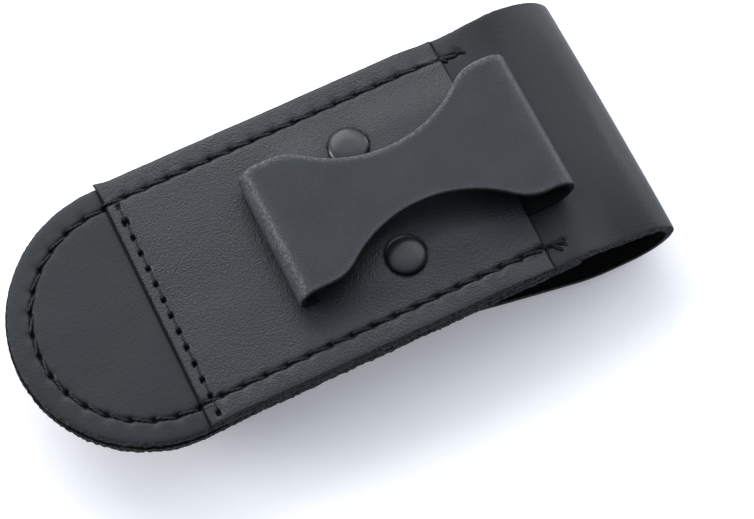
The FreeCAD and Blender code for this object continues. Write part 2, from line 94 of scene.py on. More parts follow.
# The moulded front: a flange, a leaning wall and a flat crown
FLANGE_Z = -STRAP - FRONT
DRAFT = math.radians(10)
WALL_FOOT = 6.0
FOOT_ROUND = 1.6
CROWN_ROUND = 4.5
CAVITY_HALF = 18.8
FLOOR_ROUND = 2.6
CAVITY_LIP = 0.5

# The fold: a soft start, then a round turn
SOFT_BEND = 35.0
SOFT_TURN = math.radians(15)
FOLD_R = (-FLAP_Z - STRAP - SOFT_BEND * (1 - math.cos(SOFT_TURN))) / (1 + math.cos(SOFT_TURN))
FOLD_X = FOLD_END - STRAP / 2 - FOLD_R
FOLD_Z = FLAP_Z + STRAP / 2 + FOLD_R
SOFT_X = FOLD_X - (SOFT_BEND - FOLD_R) * math.sin(SOFT_TURN)
SOFT_LONG = SOFT_BEND * SOFT_TURN
QUARTER = SOFT_X + SOFT_LONG + FOLD_R * (math.pi / 2 - SOFT_TURN)
TURNED = QUARTER + FOLD_R * math.pi / 2
SIDE_SQUEEZE = 0.27
FAR_SQUEEZE = 0.22
FAR_LIFT = 0.15
FAR_LIFT_S = 86.0

# Stitching
SEAM_INSET = 4.6
SEAM_END = 76.0
SEAM_HALF = HALF - SEAM_INSET
STRAIGHT = SEAM_END - ROUND_X
SEAM_LONG = 2 * STRAIGHT + math.pi * SEAM_HALF
SEAM_STITCHES = 50
PITCH = SEAM_LONG / SEAM_STITCHES
LOOSE_ENDS = 7
ROW_X = 2.2
ROW_START = 21.0
ROW_END = -25.2
ROW_STITCHES = 13
ROW_PITCH = (ROW_START - ROW_END) / ROW_STITCHES
STITCH_ROWS = 15
STITCH_DIVE = 1.3
STITCH_SAG = 0.12

# Clip, rivets and snap
STEEL = 1.3
HALF_STEEL = STEEL / 2
STEEL_ROLL = 0.42
ROLL_TURNS = (0.35, 0.85, math.pi / 2)
CLIP_COLUMNS = 25
CLIP_TOP = 9.6
CLIP_END = 82.2
CLIP_FREE = 24.5
CLIP_HALF = 15.2
FREE_HALF = 14.1
BASE_START = 37.5
BASE_CORNER = 3.0
WAIST = 53.0
WAIST_HALF = 6.5
WAIST_ROUND = 25.8
SHOULDER = 9.2
FREE_BEND = 4.2
LIP_BEND = 2.0
LIP_BOTTOM = 2.2
LIP_TIP = 28.4
RIVET_X = 47.3
RIVET_Y = 12.5
RIVET_HEAD = 4.0
RIVET_DOME = 0.95
SNAP_X = 41.5
CAP_RADIUS = 7.6
CAP_HIGH = 1.3

# Dents in the leather: (how deep, how wide)
SEAM_GROOVE = (0.26, 0.40)
SEAM_PIT = (0.50, 0.52)
OUTER_PIT = (0.11, 0.85)
ROW_GROOVE = (0.16, 0.7)
ROW_HOLLOW = (0.12, 2.0)
RIVET_DISH = (0.55, 4.8)
SNAP_DISH = (0.45, CAP_RADIUS + 1.5)

# Base colours of the leather, of the painted shade in holes, crevices and the clip's unlit faces, of enamel
# and of plated metal
STRAP_TONE = (0.0088, 0.0112, 0.0122)
PATCH_TONE = (0.0115, 0.0142, 0.0155)
SUEDE_TONE = (0.010, 0.010, 0.011)
RAW_TONE = (0.11, 0.113, 0.117)
PATCH_RAW_TONE = (0.07, 0.075, 0.08)
# Painted shade: near-black for needle holes, seam slots and crevices
HOLE_SHADE_TONE = (0.0008, 0.0008, 0.0009)
# Painted shade: near-black for the clip's faces that see no light
UNLIT_SHADE_TONE = (0.0012, 0.0012, 0.0013)
RIVET_TONE = (0.008, 0.009, 0.0105)
SNAP_TONE = (0.012, 0.013, 0.014)
NICKEL_TONE = (0.62, 0.60, 0.57)
WIRE_TONE = (0.60, 0.55, 0.45)

# Light: the sky's colour and brightest direction, and lamps as (name, place, size, watts)
SKY_TONE = (0.80, 0.86, 1.0, 1)
SKY_POWER = 1.15
BRIGHT_SKY = (0.10, 0.50, 0.86)
LAMPS = (
    ("key", (0.0, 1.15, 0.90), 1.2, 14.0),
    ("side", (-1.10, 0.50, 0.55), 0.45, 9.0),
    ("fill", (1.0, 0.5, 1.15), 1.2, 6.0),
    ("rim", (1.25, 0.30, 0.30), 0.5, 3.5))


def placed(points):
    """Design millimetres to the row frame in metres."""
    return (np.asarray(points, float) + ORIGIN) * MM


def smooth(low, high, value):
    """0 at low, 1 at high and an even S between them."""
    t = np.clip((np.asarray(value, float) - low) / (high - low), 0, 1)
    return t * t * (3 - 2 * t)


def hill(distance, width):
    """A round hill, 1 high, that falls away over a width."""
    return np.exp(-((np.asarray(distance, float) / width) ** 2))


def dent(distance, size):
    """Depth of a dent of size (deep, wide) at a distance from its middle."""
    deep, wide = size
    return deep * hill(distance, wide)


def lumps(points, size, seed):
    """Smooth noise between about -1 and 1 at points in millimetres, with lumps of that size."""
    shift = Vector((seed * 17.3, seed * 5.1, seed * 9.7))
    flat = np.asarray(points, float).reshape(-1, 3) / size
    values = [noise.noise(Vector(point) + shift) for point in flat]
    return np.array(values).reshape(np.shape(points)[:-1])


# ---------------------------------------------------------------- mesh building

def add_piece(name, points, faces, marks, material, flat=None):
    """A smooth closed mesh as an object, from points in design millimetres.

    marks are named numbers per point for the material to read. flat is where each point's grain is
    looked up, its own place if none is given.
    """
    mesh = bpy.data.meshes.new(name)
    mesh.from_pydata(placed(points).tolist(), [], faces)
    flat = points if flat is None else flat
    skin = mesh.attributes.new("skin", "FLOAT_VECTOR", "POINT")
    skin.data.foreach_set("vector", np.asarray(flat, np.float32).ravel())
    for mark, values in marks.items():
        layer = mesh.attributes.new(mark, "FLOAT", "POINT")
        layer.data.foreach_set("value", np.asarray(values, np.float32).ravel())
    tidy = bmesh.new()
    tidy.from_mesh(mesh)
    bmesh.ops.remove_doubles(tidy, verts=tidy.verts, dist=1e-6)
    bmesh.ops.recalc_face_normals(tidy, faces=tidy.faces)
    for face in tidy.faces:
        face.smooth = True
    tidy.to_mesh(mesh)
    tidy.free()
    mesh.materials.append(material)
    piece = bpy.data.objects.new(name, mesh)
    bpy.context.scene.collection.objects.link(piece)
    return piece


def grid_faces(rows, columns, close=False, start=0):
    """Quads over a grid of point numbers; close joins the last column to the first."""
    faces = []
    last = columns if close else columns - 1
    for i in range(rows - 1):
        for j in range(last):
            k = (j + 1) % columns
            a = start + i * columns
            b = a + columns
            faces.append((a + j, a + k, b + k, b + j))
    return faces


def cap_faces(row):
    """Strip of quads that closes a folded row of point numbers, pairing its first with its last."""
    faces = []
    low, high = 0, len(row) - 1
    while high - low > 2:
        faces.append((row[low], row[low + 1], row[high - 1], row[high]))
        low += 1
        high -= 1
    if high - low == 2:
        faces.append((row[low], row[low + 1], row[high]))
    return faces


def steps(start, end, size):
    """Even steps of at most size from start to end."""
    count = max(1, int(math.ceil(abs(end - start) / size)))
    return np.linspace(start, end, count + 1)


def join_steps(*runs):
    """One list from several runs of steps that share their ends."""
    parts = [runs[0]] + [run[1:] for run in runs[1:]]
    return np.concatenate(parts)


# ---------------------------------------------------------------- where the seam pulls the leather down

def seam_place(x, y):
    """(distance outside the seam line, distance along it) of plan points."""
    round_end = x < ROUND_X
    reach = np.hypot(x - ROUND_X, y)
    off = np.where(round_end, reach, np.abs(y)) - SEAM_HALF
    turn = np.arctan2(ROUND_X - x, y)
    side = np.where(y > 0, SEAM_END - x, SEAM_LONG - (SEAM_END - x))
    return off, np.where(round_end, STRAIGHT + turn * SEAM_HALF, side)


def seam_point(run):
    """Plan point at a distance along the seam."""
    if run < STRAIGHT:
        return SEAM_END - run, SEAM_HALF
    if run > SEAM_LONG - STRAIGHT:
        return SEAM_END - (SEAM_LONG - run), -SEAM_HALF
    turn = (run - STRAIGHT) / SEAM_HALF
    return ROUND_X - SEAM_HALF * math.sin(turn), SEAM_HALF * math.cos(turn)


def seam_depth(x, y):
    """How far the stitching draws the leather down, in millimetres."""
    off, run = seam_place(x, y)
    along = run - PITCH * np.round(run / PITCH)
    beside = np.minimum(run, SEAM_LONG - run)
    stitched = smooth(-1.6, 0.4, beside)
    pull = 0.5 + 0.5 * np.cos(2 * math.pi * along / PITCH)
    groove = dent(off, SEAM_GROOVE) + (0.03 + 0.06 * pull) * hill(off, 1.1)
    pit = dent(np.hypot(off, along), SEAM_PIT) + dent(np.hypot(off - 0.8, along), OUTER_PIT)
    slope = 0.08 * np.clip(off / SEAM_INSET, 0, 1)
    turned_down = 0.16 * np.clip((off - 3.2) / 1.4, 0, 1) ** 2
    return (groove + pit) * stitched + (slope + turned_down) * (0.3 + 0.7 * smooth(-4, 1, beside))


def seam_hole_shade(x, y):
    """1 inside a needle hole of the seam and along its slot, where shade is painted, 0 away from them."""
    off, run = seam_place(x, y)
    ragged = 0.36 * lumps(np.stack([x, y, 0 * x], axis=-1), 0.8, 7)
    hole = np.clip(np.round(run / PITCH), 0, SEAM_STITCHES)
    needle = 1 - smooth(0.36, 0.62, np.hypot(off, (run - hole * PITCH) * 0.7) + ragged)
    stitched = smooth(-0.4, 0.4, np.minimum(run, SEAM_LONG - run))
    return np.maximum(needle, 0.9 * stitched * (1 - smooth(0.20, 0.52, np.abs(off) + ragged)))


def patch_foot_shade(x):
    """0.9 in the line of painted shade where the patch's lower and upper edges meet the strap, 0 away from
    it.
    """
    off = np.minimum(np.abs(x + 0.12), np.abs(x - PATCH_LONG - 0.12))
    return 0.9 * np.exp(-((off / 0.36) ** 4))


def row_hole(x, y):
    """1 inside a square needle hole of the end row, 0 away from it."""
    hole = np.clip(np.round((ROW_START - y) / ROW_PITCH), 0, ROW_STITCHES)
    across = y - (ROW_START - hole * ROW_PITCH)
    wide = np.where(hole == 1, 0.68, 0.48)
    dark = np.where(hole == 0, 0.45, 1.0)
    return dark * np.exp(-((np.abs(x - ROW_X) / wide) ** 6) - (np.abs(across) / wide) ** 6)


def row_depth(x, y):
    """How far the end row of stitches draws the patch down."""
    beside = x - ROW_X
    within = smooth(ROW_END - 1.2, ROW_END, y) * (1 - smooth(ROW_START, ROW_START + 1.2, y))
    return within * (dent(beside, ROW_GROOVE) + dent(beside, ROW_HOLLOW)) + 0.95 * row_hole(x, y)


def rivet_reach(x, y):
    """Distance from the nearer rivet."""
    return np.minimum(np.hypot(x - RIVET_X, y - RIVET_Y), np.hypot(x - RIVET_X, y + RIVET_Y))


def rivet_depth(x, y):
    """How far the rivets draw the patch down."""
    return dent(rivet_reach(x, y), RIVET_DISH)


def rivet_crevice_shade(x, y):
    """1 in the ring of painted shade round a rivet's head."""
    return 1 - smooth(RIVET_HEAD + 0.12, RIVET_HEAD + 0.42, rivet_reach(x, y))


def sway(x, y):
    """Slow unevenness of the whole stack."""
    points = np.stack([x, y, np.zeros_like(x)], axis=-1)
    return 0.16 * lumps(points, 17.0, 1) + 0.05 * lumps(points, 6.0, 2)


def under_patch(x):
    """1 where the patch lies on the back panel, 0 away from it."""
    return smooth(-0.5, 0.4, x) * (1 - smooth(PATCH_LONG - 0.4, PATCH_LONG + 0.5, x))


def panel_top(x, y):
    """Height of the back panel's outer face. The seam draws it down less under the patch."""
    pulled = 1 - 0.65 * under_patch(x)
    return -seam_depth(x, y) * pulled + sway(x, y) * smooth(84, 74, x)


def patch_raise(x, y):
    """1 where the patch lies over the clip's base, 0 where it lies on the panel."""
    beside = smooth(CLIP_HALF - 3, SEAM_HALF - 0.9, np.abs(y))
    return smooth(BASE_START - 9, BASE_START + 1, x) * (1 - beside)


def patch_top(x, y):
    """Height of the patch's outer face, which thins out at its two ends."""
    drop = seam_depth(x, y) + row_depth(x, y) + rivet_depth(x, y)
    rim = smooth(SEAM_HALF - 1.5, SEAM_HALF + 1.5, np.abs(y))
    skived = (0.04 + 0.60 * rim) * smooth(3.0, 0.0, x)
    skived = skived + 0.95 * rim * smooth(PATCH_LONG - 9, PATCH_LONG, x)
    return PATCH + PATCH_RISE * patch_raise(x, y) - drop + sway(x, y) - skived


def stack_top(x, y):
    """Height of whatever leather is uppermost."""
    on_patch = (x > 0) & (x < PATCH_LONG)
    return np.where(on_patch, patch_top(x, y), panel_top(x, y))


# ---------------------------------------------------------------- strap and front, swept round the outline

def pinch(s, y):
    """How much of the fold's height is lost at a point, most at the cut sides."""
    near_side = SIDE_SQUEEZE * smooth(MOUTH, SOFT_X + 5, s)
    far_side = FAR_SQUEEZE * smooth(SOFT_X + 6, SOFT_X + 24, s) - FAR_LIFT * hill(s - FAR_LIFT_S, 7.5)
    held = np.where(y > 0, far_side, near_side) * (1 - 0.6 * smooth(TURNED + 2, TURNED + 40, s))
    return held * (np.abs(y) / HALF) ** 2.5


def bent(s, y, level):
    """Design points of the strap: s along its middle layer, y across, level out of that layer."""
    soft = s < SOFT_X + SOFT_LONG
    turn = np.where(
        soft, np.clip((s - SOFT_X) / SOFT_BEND, 0, SOFT_TURN),
        np.clip(SOFT_TURN + (s - SOFT_X - SOFT_LONG) / FOLD_R, 0, math.pi))
    radius = np.where(soft, SOFT_BEND, FOLD_R)
    centre_x = np.where(soft, SOFT_X, FOLD_X)
    centre_z = np.where(soft, -STRAP / 2 - SOFT_BEND, FOLD_Z)
    x = centre_x + (radius + level) * np.sin(turn)
    z = centre_z + (radius + level) * np.cos(turn)
    x = np.where(s < SOFT_X, s, x)
    z = np.where(s < SOFT_X, level - STRAP / 2, z)
    x = np.where(s > TURNED, FOLD_X - (s - TURNED), x)
    z = FOLD_Z + (z - FOLD_Z) * (1 - pinch(s, y))
    return np.stack([x, np.broadcast_to(y, np.shape(x)), z], axis=-1)


def side_stations():
    """Places down the strap's straight side, from the middle of the fold to the round end."""
    return join_steps(
        steps(QUARTER, QUARTER - 1, 0.2), steps(QUARTER - 1, MOUTH + 1, 0.9),
        steps(MOUTH + 1, ROUND_X, 0.4))


def outline_stations(side):
    """Edge and middle plan points down the +Y side at the places given, round the end and back."""
    turns = steps(0, math.pi, ROUND_STEP)[1:-1]
    edge = [(x, HALF) for x in side]
    edge += [(ROUND_X - HALF * math.sin(t), HALF * math.cos(t)) for t in turns]
    edge += [(x, -HALF) for x in side[::-1]]
    middle = [(x, 0.0) for x in side] + [(ROUND_X, 0.0)] * len(turns) + [(x, 0.0) for x in side[::-1]]
    return np.array(edge), np.array(middle)


SEAM_COLUMNS = np.array([
    EDGE_ROUND, 0.8, 1.4, 2.0, 2.6, 3.1, 3.5, 3.85, 4.15, 4.4, 4.6, 4.8, 5.05, 5.35, 5.7, 6.1, 6.7,
    7.5, 8.6, 10.0, 12.0, 14.5, 17.5, 21.0, 24.0, 27.0])


def cut_edge(thick, top_round, low_round):
    """(distance in from the edge, share of the thickness, 1 at the top) down a rounded cut edge."""
    rows = []
    for turn in (0.5, 1.0, 1.35):
        rows.append((top_round * (1 - math.sin(turn)), 1 - top_round * (1 - math.cos(turn)) / thick))
    for share in (0.68, 0.5, 0.32):
        rows.append((0.0, share))
    for turn in (1.35, 1.0, 0.5):
        rows.append((low_round * (1 - math.sin(turn)), low_round * (1 - math.cos(turn)) / thick))
    return rows


def swept_shell(edge, middle, upper, lower, rows):
    """Plan points (stations, columns, 2) and levels (columns) of a shell swept round an outline.

    upper, from the middle outwards, rows, down the cut edge, and lower, back to the middle, are
    lists of (distance in from the outline, level).
    """
    distances = np.array([d for d, _ in upper] + [d for d, _ in rows] + [d for d, _ in lower])
    levels = np.array([v for _, v in upper] + [v for _, v in rows] + [v for _, v in lower])
    reach = np.linalg.norm(middle - edge, axis=1)
    share = distances[None, :] / distances.max()
    part = np.where(distances[None, :] < 1.0, distances[None, :] / reach[:, None], share)
    plan = edge[:, None, :] + (middle - edge)[:, None, :] * part[..., None]
    return plan, levels


def shell_faces(stations, columns):
    """Faces of a swept shell, closed at both ends of the sweep."""
    faces = grid_faces(stations, columns)
    last = (stations - 1) * columns
    faces += cap_faces(list(range(columns)))
    faces += [tuple(reversed(face)) for face in cap_faces(list(range(last, last + columns)))]
    return faces


def frayed(plan, levels, is_edge, amount, seed, proud=0.0):
    """Plan points with the raw cut edge moved in and out like fibres, and all moved out by proud."""
    stations, columns = plan.shape[:2]
    spread = np.concatenate(
        [plan, np.broadcast_to(levels[None, :, None], (stations, columns, 1))], axis=-1)
    shift = amount * 1.8 * lumps(spread, 0.6, seed) + 0.6 * amount * lumps(spread, 4.0, seed + 1)
    shift = shift * (0.35 + 0.65 * smooth(6.0, -6.0, plan[..., 1]))
    outward = plan - np.stack([np.maximum(plan[..., 0], ROUND_X), np.zeros(plan.shape[:2])], axis=-1)
    outward = outward / np.maximum(np.linalg.norm(outward, axis=-1, keepdims=True), 1e-6)
    return plan + outward * (shift * is_edge[None, :] + proud)[..., None]


def edge_columns(count, rows):
    """1 for the columns of a shell's cut edge, 0 for those of its two faces."""
    return np.concatenate([np.zeros(count), np.ones(rows), np.zeros(count)])


def shell_marks(count, rows, stations, hole_shade):
    """Marks of a swept shell: raw cut edge, flesh side, and painted shade in needle holes and in the crevice
    under the edge.
    """
    cut = edge_columns(count, rows)
    flesh = np.concatenate([np.zeros(count + rows), np.ones(count)])
    hole = np.zeros((stations, 2 * count + rows)) + hole_shade
    # Painted shade in the crevice under the cut edge
    hole[:, count + rows - 2:count + rows + 1] = 0.9
    return {"cut": np.tile(cut, stations), "flesh": np.tile(flesh, stations), "hole": hole.ravel()}


def add_shell(name, points, flat, sizes, material, hole_shade=0.0):
    """A swept shell as a piece. sizes are the numbers of columns of one face and of the cut edge."""
    stations, columns = points.shape[:2]
    return add_piece(
        name, points.reshape(-1, 3), shell_faces(stations, columns),
        shell_marks(*sizes, stations, hole_shade), material, flat.reshape(-1, 3))


def strap_section():
    """(distance in, share of the thickness) of the strap's upper face, lower face and cut edge."""
    upper = [(d, 1.0) for d in SEAM_COLUMNS[::-1]]
    lower = [(d, 0.0) for d in SEAM_COLUMNS]
    rows = cut_edge(STRAP, EDGE_ROUND, LOW_ROUND)
    return upper, lower, rows


def strap_back(material):
    """The strap from the round end to the middle of the fold."""
    upper, lower, rows = strap_section()
    edge, middle = outline_stations(side_stations())
    plan, share = swept_shell(edge, middle, upper, lower, rows)
    sizes = (len(upper), len(rows))
    plan = frayed(plan, share * STRAP, edge_columns(*sizes), 0.17, 11)
    s, y = plan[..., 0], plan[..., 1]
    level = share[None, :] * (STRAP + panel_top(s, y)) - STRAP / 2
    points = bent(s, y, level)
    flat = np.stack([s, y, 0 * s + share[None, :] * STRAP], axis=-1)
    # Painted shade in the seam's holes and slot and along the patch's two ends
    hole_shade = np.maximum(seam_hole_shade(s, y), patch_foot_shade(s))
    return add_shell("strap_back", points, flat, sizes, material, hole_shade)


def flap_edge():
    """(s along the strap, half width) of the flap's outline from the fold to its tip, and the tip's s."""
    taper_start, taper_end = 82.0, 42.0
    taper_half, tip_half = 19.5, 11.0
    corner, ease, tip_bulge = 15.0, 4.0, 0.6
    start = TURNED + FOLD_X - taper_start
    end = TURNED + FOLD_X - taper_end
    tip = TURNED + FOLD_X - FLAP_TIP
    chord = np.array([tip - end, tip_half - taper_half])
    long = np.linalg.norm(chord)
    normal = np.array([-chord[1], chord[0]]) / long
    bulge = corner - math.sqrt(corner ** 2 - long ** 2 / 4)
    points = [(s, HALF) for s in join_steps(
        steps(QUARTER, QUARTER + 1, 0.2), steps(QUARTER + 1, start - ease, 0.9))]
    for t in np.linspace(0, 1, 10)[1:]:
        lost = ease * t * t * (HALF - taper_half) / (end - start)
        points.append((start - ease + 2 * ease * t, HALF - lost))
    first = points[-1]
    for t in np.linspace(0, 1, 42)[1:]:
        points.append((first[0] + (end - first[0]) * t, first[1] + (taper_half - first[1]) * t))
    for t in np.linspace(0, 1, 22)[1:]:
        rise = bulge * 4 * t * (1 - t)
        points.append(tuple(np.array([end, taper_half]) + chord * t + normal * rise))
    for t in np.linspace(0, 1, 12)[1:]:
        points.append((tip + tip_bulge * t * (2 - t), tip_half * (1 - t)))
    return np.array(points), tip


def flap_stations():
    """Edge and middle plan points round the flap; the middle points stop short of its tip."""
    half, tip = flap_edge()
    from_tip, gather = 13.0, 14.0
    pole = tip - from_tip
    begin = pole - gather
    turn = np.clip((half[:, 0] - begin) / (tip - 4 - begin), 0, 1)
    place = np.where(half[:, 0] < begin, half[:, 0], begin + (pole - begin) * np.sin(turn * math.pi / 2))
    edge = np.concatenate([half, half[-2::-1] * [1, -1]])
    middle = np.stack([np.concatenate([place, place[-2::-1]]), np.zeros(len(edge))], axis=-1)
    return edge, middle


def strap_flap(material):
    """The strap from the middle of the fold to the flap's tip."""
    upper, lower, rows = strap_section()
    edge, middle = flap_stations()
    plan, share = swept_shell(edge, middle, upper, lower, rows)
    s, y = plan[..., 0], plan[..., 1]
    ripple = sway(s, y) * smooth(QUARTER + 2, QUARTER + 20, s) * 0.9
    edge_drop = 0.16 * hill(np.abs(plan - edge[:, None, :]).sum(-1), 1.6)
    level = share[None, :] * (STRAP - edge_drop) - STRAP / 2 + ripple * 0.6
    snug = dent(np.hypot(s - (TURNED + FOLD_X - SNAP_X), y), SNAP_DISH)
    level = level - snug * share[None, :]
    points = bent(s, y, level)
    flat = np.stack([s, y, 0 * s + share[None, :] * STRAP], axis=-1)
    return add_shell("strap_flap", points, flat, (len(upper), len(rows)), material)


def arc_points(centre, radius, start, end, count):
    """Points along an arc, as pairs."""
    turns = np.linspace(start, end, count)
    return [(centre[0] + radius * math.cos(t), centre[1] + radius * math.sin(t)) for t in turns]


def off_wall(radius):
    """How far in from a leaning wall's corner the centre of a rounding lies."""
    return radius * (1 - math.sin(DRAFT)) / math.cos(DRAFT)


def front_outside():
    """(distance in, z) of the moulded front's outer face, from its edge to the middle."""
    foot_centre = (WALL_FOOT - off_wall(FOOT_ROUND), FLANGE_Z - FOOT_ROUND)
    wall_top = WALL_FOOT + (FLANGE_Z - CROWN_Z) * math.tan(DRAFT)
    crown_centre = (wall_top + off_wall(CROWN_ROUND), CROWN_Z + CROWN_ROUND)
    face = [(d, FLANGE_Z) for d in SEAM_COLUMNS if d < foot_centre[0] - 0.3]
    face += arc_points(foot_centre, FOOT_ROUND, math.pi / 2, DRAFT, 6)
    face += arc_points(crown_centre, CROWN_ROUND, math.pi + DRAFT, 1.5 * math.pi, 12)
    return face + [(d, CROWN_Z) for d in (15.5, 18.5, 21.5, 24.5, HALF)]


def front_inside():
    """(distance in, z) of its inner face, from its edge to the middle."""
    floor = CROWN_Z + FRONT
    wall = HALF - CAVITY_HALF
    wall_foot = wall + (-STRAP - floor) * math.tan(DRAFT)
    floor_centre = (wall_foot + off_wall(FLOOR_ROUND), floor + FLOOR_ROUND)
    lip_centre = (wall - CAVITY_LIP, -STRAP - CAVITY_LIP)
    face = [(d, -STRAP) for d in (EDGE_ROUND, 3.0, 6.0)]
    face += arc_points(lip_centre, CAVITY_LIP, math.pi / 2, DRAFT, 4)
    face += arc_points(floor_centre, FLOOR_ROUND, math.pi + DRAFT, 1.5 * math.pi, 8)
    return face + [(d, floor) for d in (17.0, 22.0, HALF)]


def resampled(points, count):
    """The same line as a number of evenly spread points."""
    points = np.array(points)
    far = np.concatenate([[0], np.cumsum(np.linalg.norm(np.diff(points, axis=0), axis=1))])
    wanted = np.linspace(0, far[-1], count)
    return [(float(np.interp(w, far, points[:, 0])), float(np.interp(w, far, points[:, 1]))) for w in wanted]


def pocket_front(material):
    """The moulded front with its stitched flange."""
    outer = front_outside()
    inner = resampled(front_inside(), len(outer))
    edge, middle = outline_stations(steps(MOUTH, ROUND_X, 0.45))
    cut_rows = cut_edge(FRONT, EDGE_ROUND, LOW_ROUND)
    rows = [(d, -STRAP - FRONT * share) for d, share in cut_rows]
    plan, z = swept_shell(edge, middle, outer[::-1], inner, rows)
    sizes = (len(outer), len(rows))
    distances = np.array([d for d, _ in outer[::-1] + rows + inner])[None, :]
    proud = 0.45 * smooth(10, -6, plan[..., 0]) * smooth(4.0, 0.0, distances)
    plan = frayed(plan, z, edge_columns(*sizes), 0.19, 31, proud)
    x, y = plan[..., 0], plan[..., 1]
    outward = np.concatenate([np.ones(len(outer)), [share for _, share in cut_rows], np.zeros(len(inner))])
    on_flange = smooth(CROWN_Z, FLANGE_Z - 1.5, z)[None, :]
    soft = 0.35 * (1 - on_flange) * lumps(np.stack([x, y, 0 * x], axis=-1), 15.0, 5)
    height = z[None, :] + outward[None, :] * (seam_depth(x, y) * on_flange + soft)
    points = np.stack([x, y, height], axis=-1)
    flat = np.stack([x, y, 0 * x + z[None, :]], axis=-1)
    # Painted shade in the seam's holes and slot
    return add_shell("pocket_front", points, flat, sizes, material, seam_hole_shade(x, y))


# ---------------------------------------------------------------- patch over the clip's base

def patch_grid():
    """Plan points of the patch inside its rounded rim, and the heights of its two faces."""
    xs = join_steps(
        steps(PATCH_RIM, 0.9, 0.3), steps(0.9, 3.6, 0.22), steps(3.6, 6.0, 0.4),
        steps(6.0, PATCH_LONG - PATCH_RIM, 0.6))
    ys = join_steps(
        steps(-HALF + PATCH_RIM, -25.6, 0.5), steps(-25.6, -18.5, 0.27), steps(-18.5, 18.5, 0.36),
        steps(18.5, HALF - PATCH_RIM, 0.3))
    x, y = np.meshgrid(xs, ys, indexing="ij")
    beside = smooth(CLIP_HALF + 0.1, CLIP_HALF + 0.6, np.abs(y))
    room = smooth(BASE_START - 0.5, BASE_START, x) * (1 - beside)
    low = np.maximum(panel_top(x, y), room * (STEEL + 0.05))
    top = np.maximum(patch_top(x, y), low + 0.45)
    return x, y, top, low


def rim_places(rows, columns):
    """(row, column) of the points once round the rim of a grid."""
    ring = [(i, 0) for i in range(rows)] + [(rows - 1, j) for j in range(1, columns)]
    ring += [(i, columns - 1) for i in range(rows - 2, -1, -1)] + [(0, j) for j in range(columns - 2, 0, -1)]
    return np.array(ring)


def patch_cut(x, y, top, low, ring):
    """Loops of points down the patch's rounded, frayed cut edge, from its upper face to its lower."""
    i, j = ring.T
    out_x = np.where(i == x.shape[0] - 1, 1.0, 0.0) - np.where(i == 0, 1.0, 0.0)
    out_y = np.where(j == x.shape[1] - 1, 1.0, 0.0) - np.where(j == 0, 1.0, 0.0)
    x, y, top, low = x[i, j], y[i, j], top[i, j], low[i, j]
    levels = [(turn, top - PATCH_RIM * (1 - math.cos(turn))) for turn in (0.5, 1.1)]
    levels += [(math.pi / 2, low + (top - low) * share) for share in (0.6, 0.3)]
    loops = []
    for turn, z in levels:
        out = PATCH_RIM * math.sin(turn)
        loop = np.stack([x + out_x * out, y + out_y * out, z], axis=-1)
        fray = 0.05 * lumps(loop, 0.9, 51) + 0.07 * lumps(loop, 5.0, 52)
        loop[:, 0] += out_x * fray
        loop[:, 1] += out_y * fray
        loops.append(loop)
    return loops


def clip_patch(material):
    """The patch: an upper and a lower face joined by its cut edge, with one corner drawn to a point."""
    x, y, top, low = patch_grid()
    rows, columns = x.shape
    ring = rim_places(rows, columns)
    cut_loops = patch_cut(x, y, top, low, ring)
    upper_face = np.stack([x, y, top], axis=-1).reshape(-1, 3)
    lower_face = np.stack([x, y, low], axis=-1).reshape(-1, 3)
    points = np.concatenate([upper_face, lower_face] + cut_loops)
    faces = grid_faces(rows, columns)
    faces += [tuple(reversed(face)) for face in grid_faces(rows, columns, start=x.size)]
    count = len(ring)
    rim = ring[:, 0] * columns + ring[:, 1]
    loops = [2 * x.size + count * k + np.arange(count) for k in range(len(cut_loops))]
    loops = [rim] + loops + [x.size + rim]
    for upper, lower in zip(loops[:-1], loops[1:]):
        for j in range(count):
            k = (j + 1) % count
            faces.append((int(upper[j]), int(upper[k]), int(lower[k]), int(lower[j])))
    cut = np.concatenate([np.zeros(2 * x.size), np.ones(count * len(cut_loops))])
    flat = points.copy()
    # Painted shade in the needle holes, the seam slot and the ring round each rivet
    hole = np.maximum(seam_hole_shade(points[:, 0], points[:, 1]), row_hole(points[:, 0], points[:, 1]))
    hole = np.maximum(hole, rivet_crevice_shade(points[:, 0], points[:, 1]))
    spike = 0.8 * hill(np.hypot(points[:, 0], points[:, 1] - HALF), 1.5)
    points[:, 1] += spike
    points[:, 0] -= 0.5 * spike
    return add_piece(
        "clip_patch_leather", points, faces, {"cut": cut, "flesh": 0 * cut, "hole": hole}, material, flat)


# ---------------------------------------------------------------- thread

def stitch_line(start, end, surface, outward, rise):
    """Centre line of one stitch from hole to hole, as (n, 3) points that dive at both ends."""
    t = np.linspace(0, 1, STITCH_ROWS)
    x = start[0] + (end[0] - start[0]) * t
    y = start[1] + (end[1] - start[1]) * t
    base = surface(x, y)
    middle = base[STITCH_ROWS // 2]
    level = middle + (np.median(base) - middle) * 0.3
    off = np.abs(2 * t - 1)
    height = level + outward * (rise - STITCH_SAG * off ** 2 - STITCH_DIVE * off ** 7)
    return np.stack([x, y, height], axis=-1)


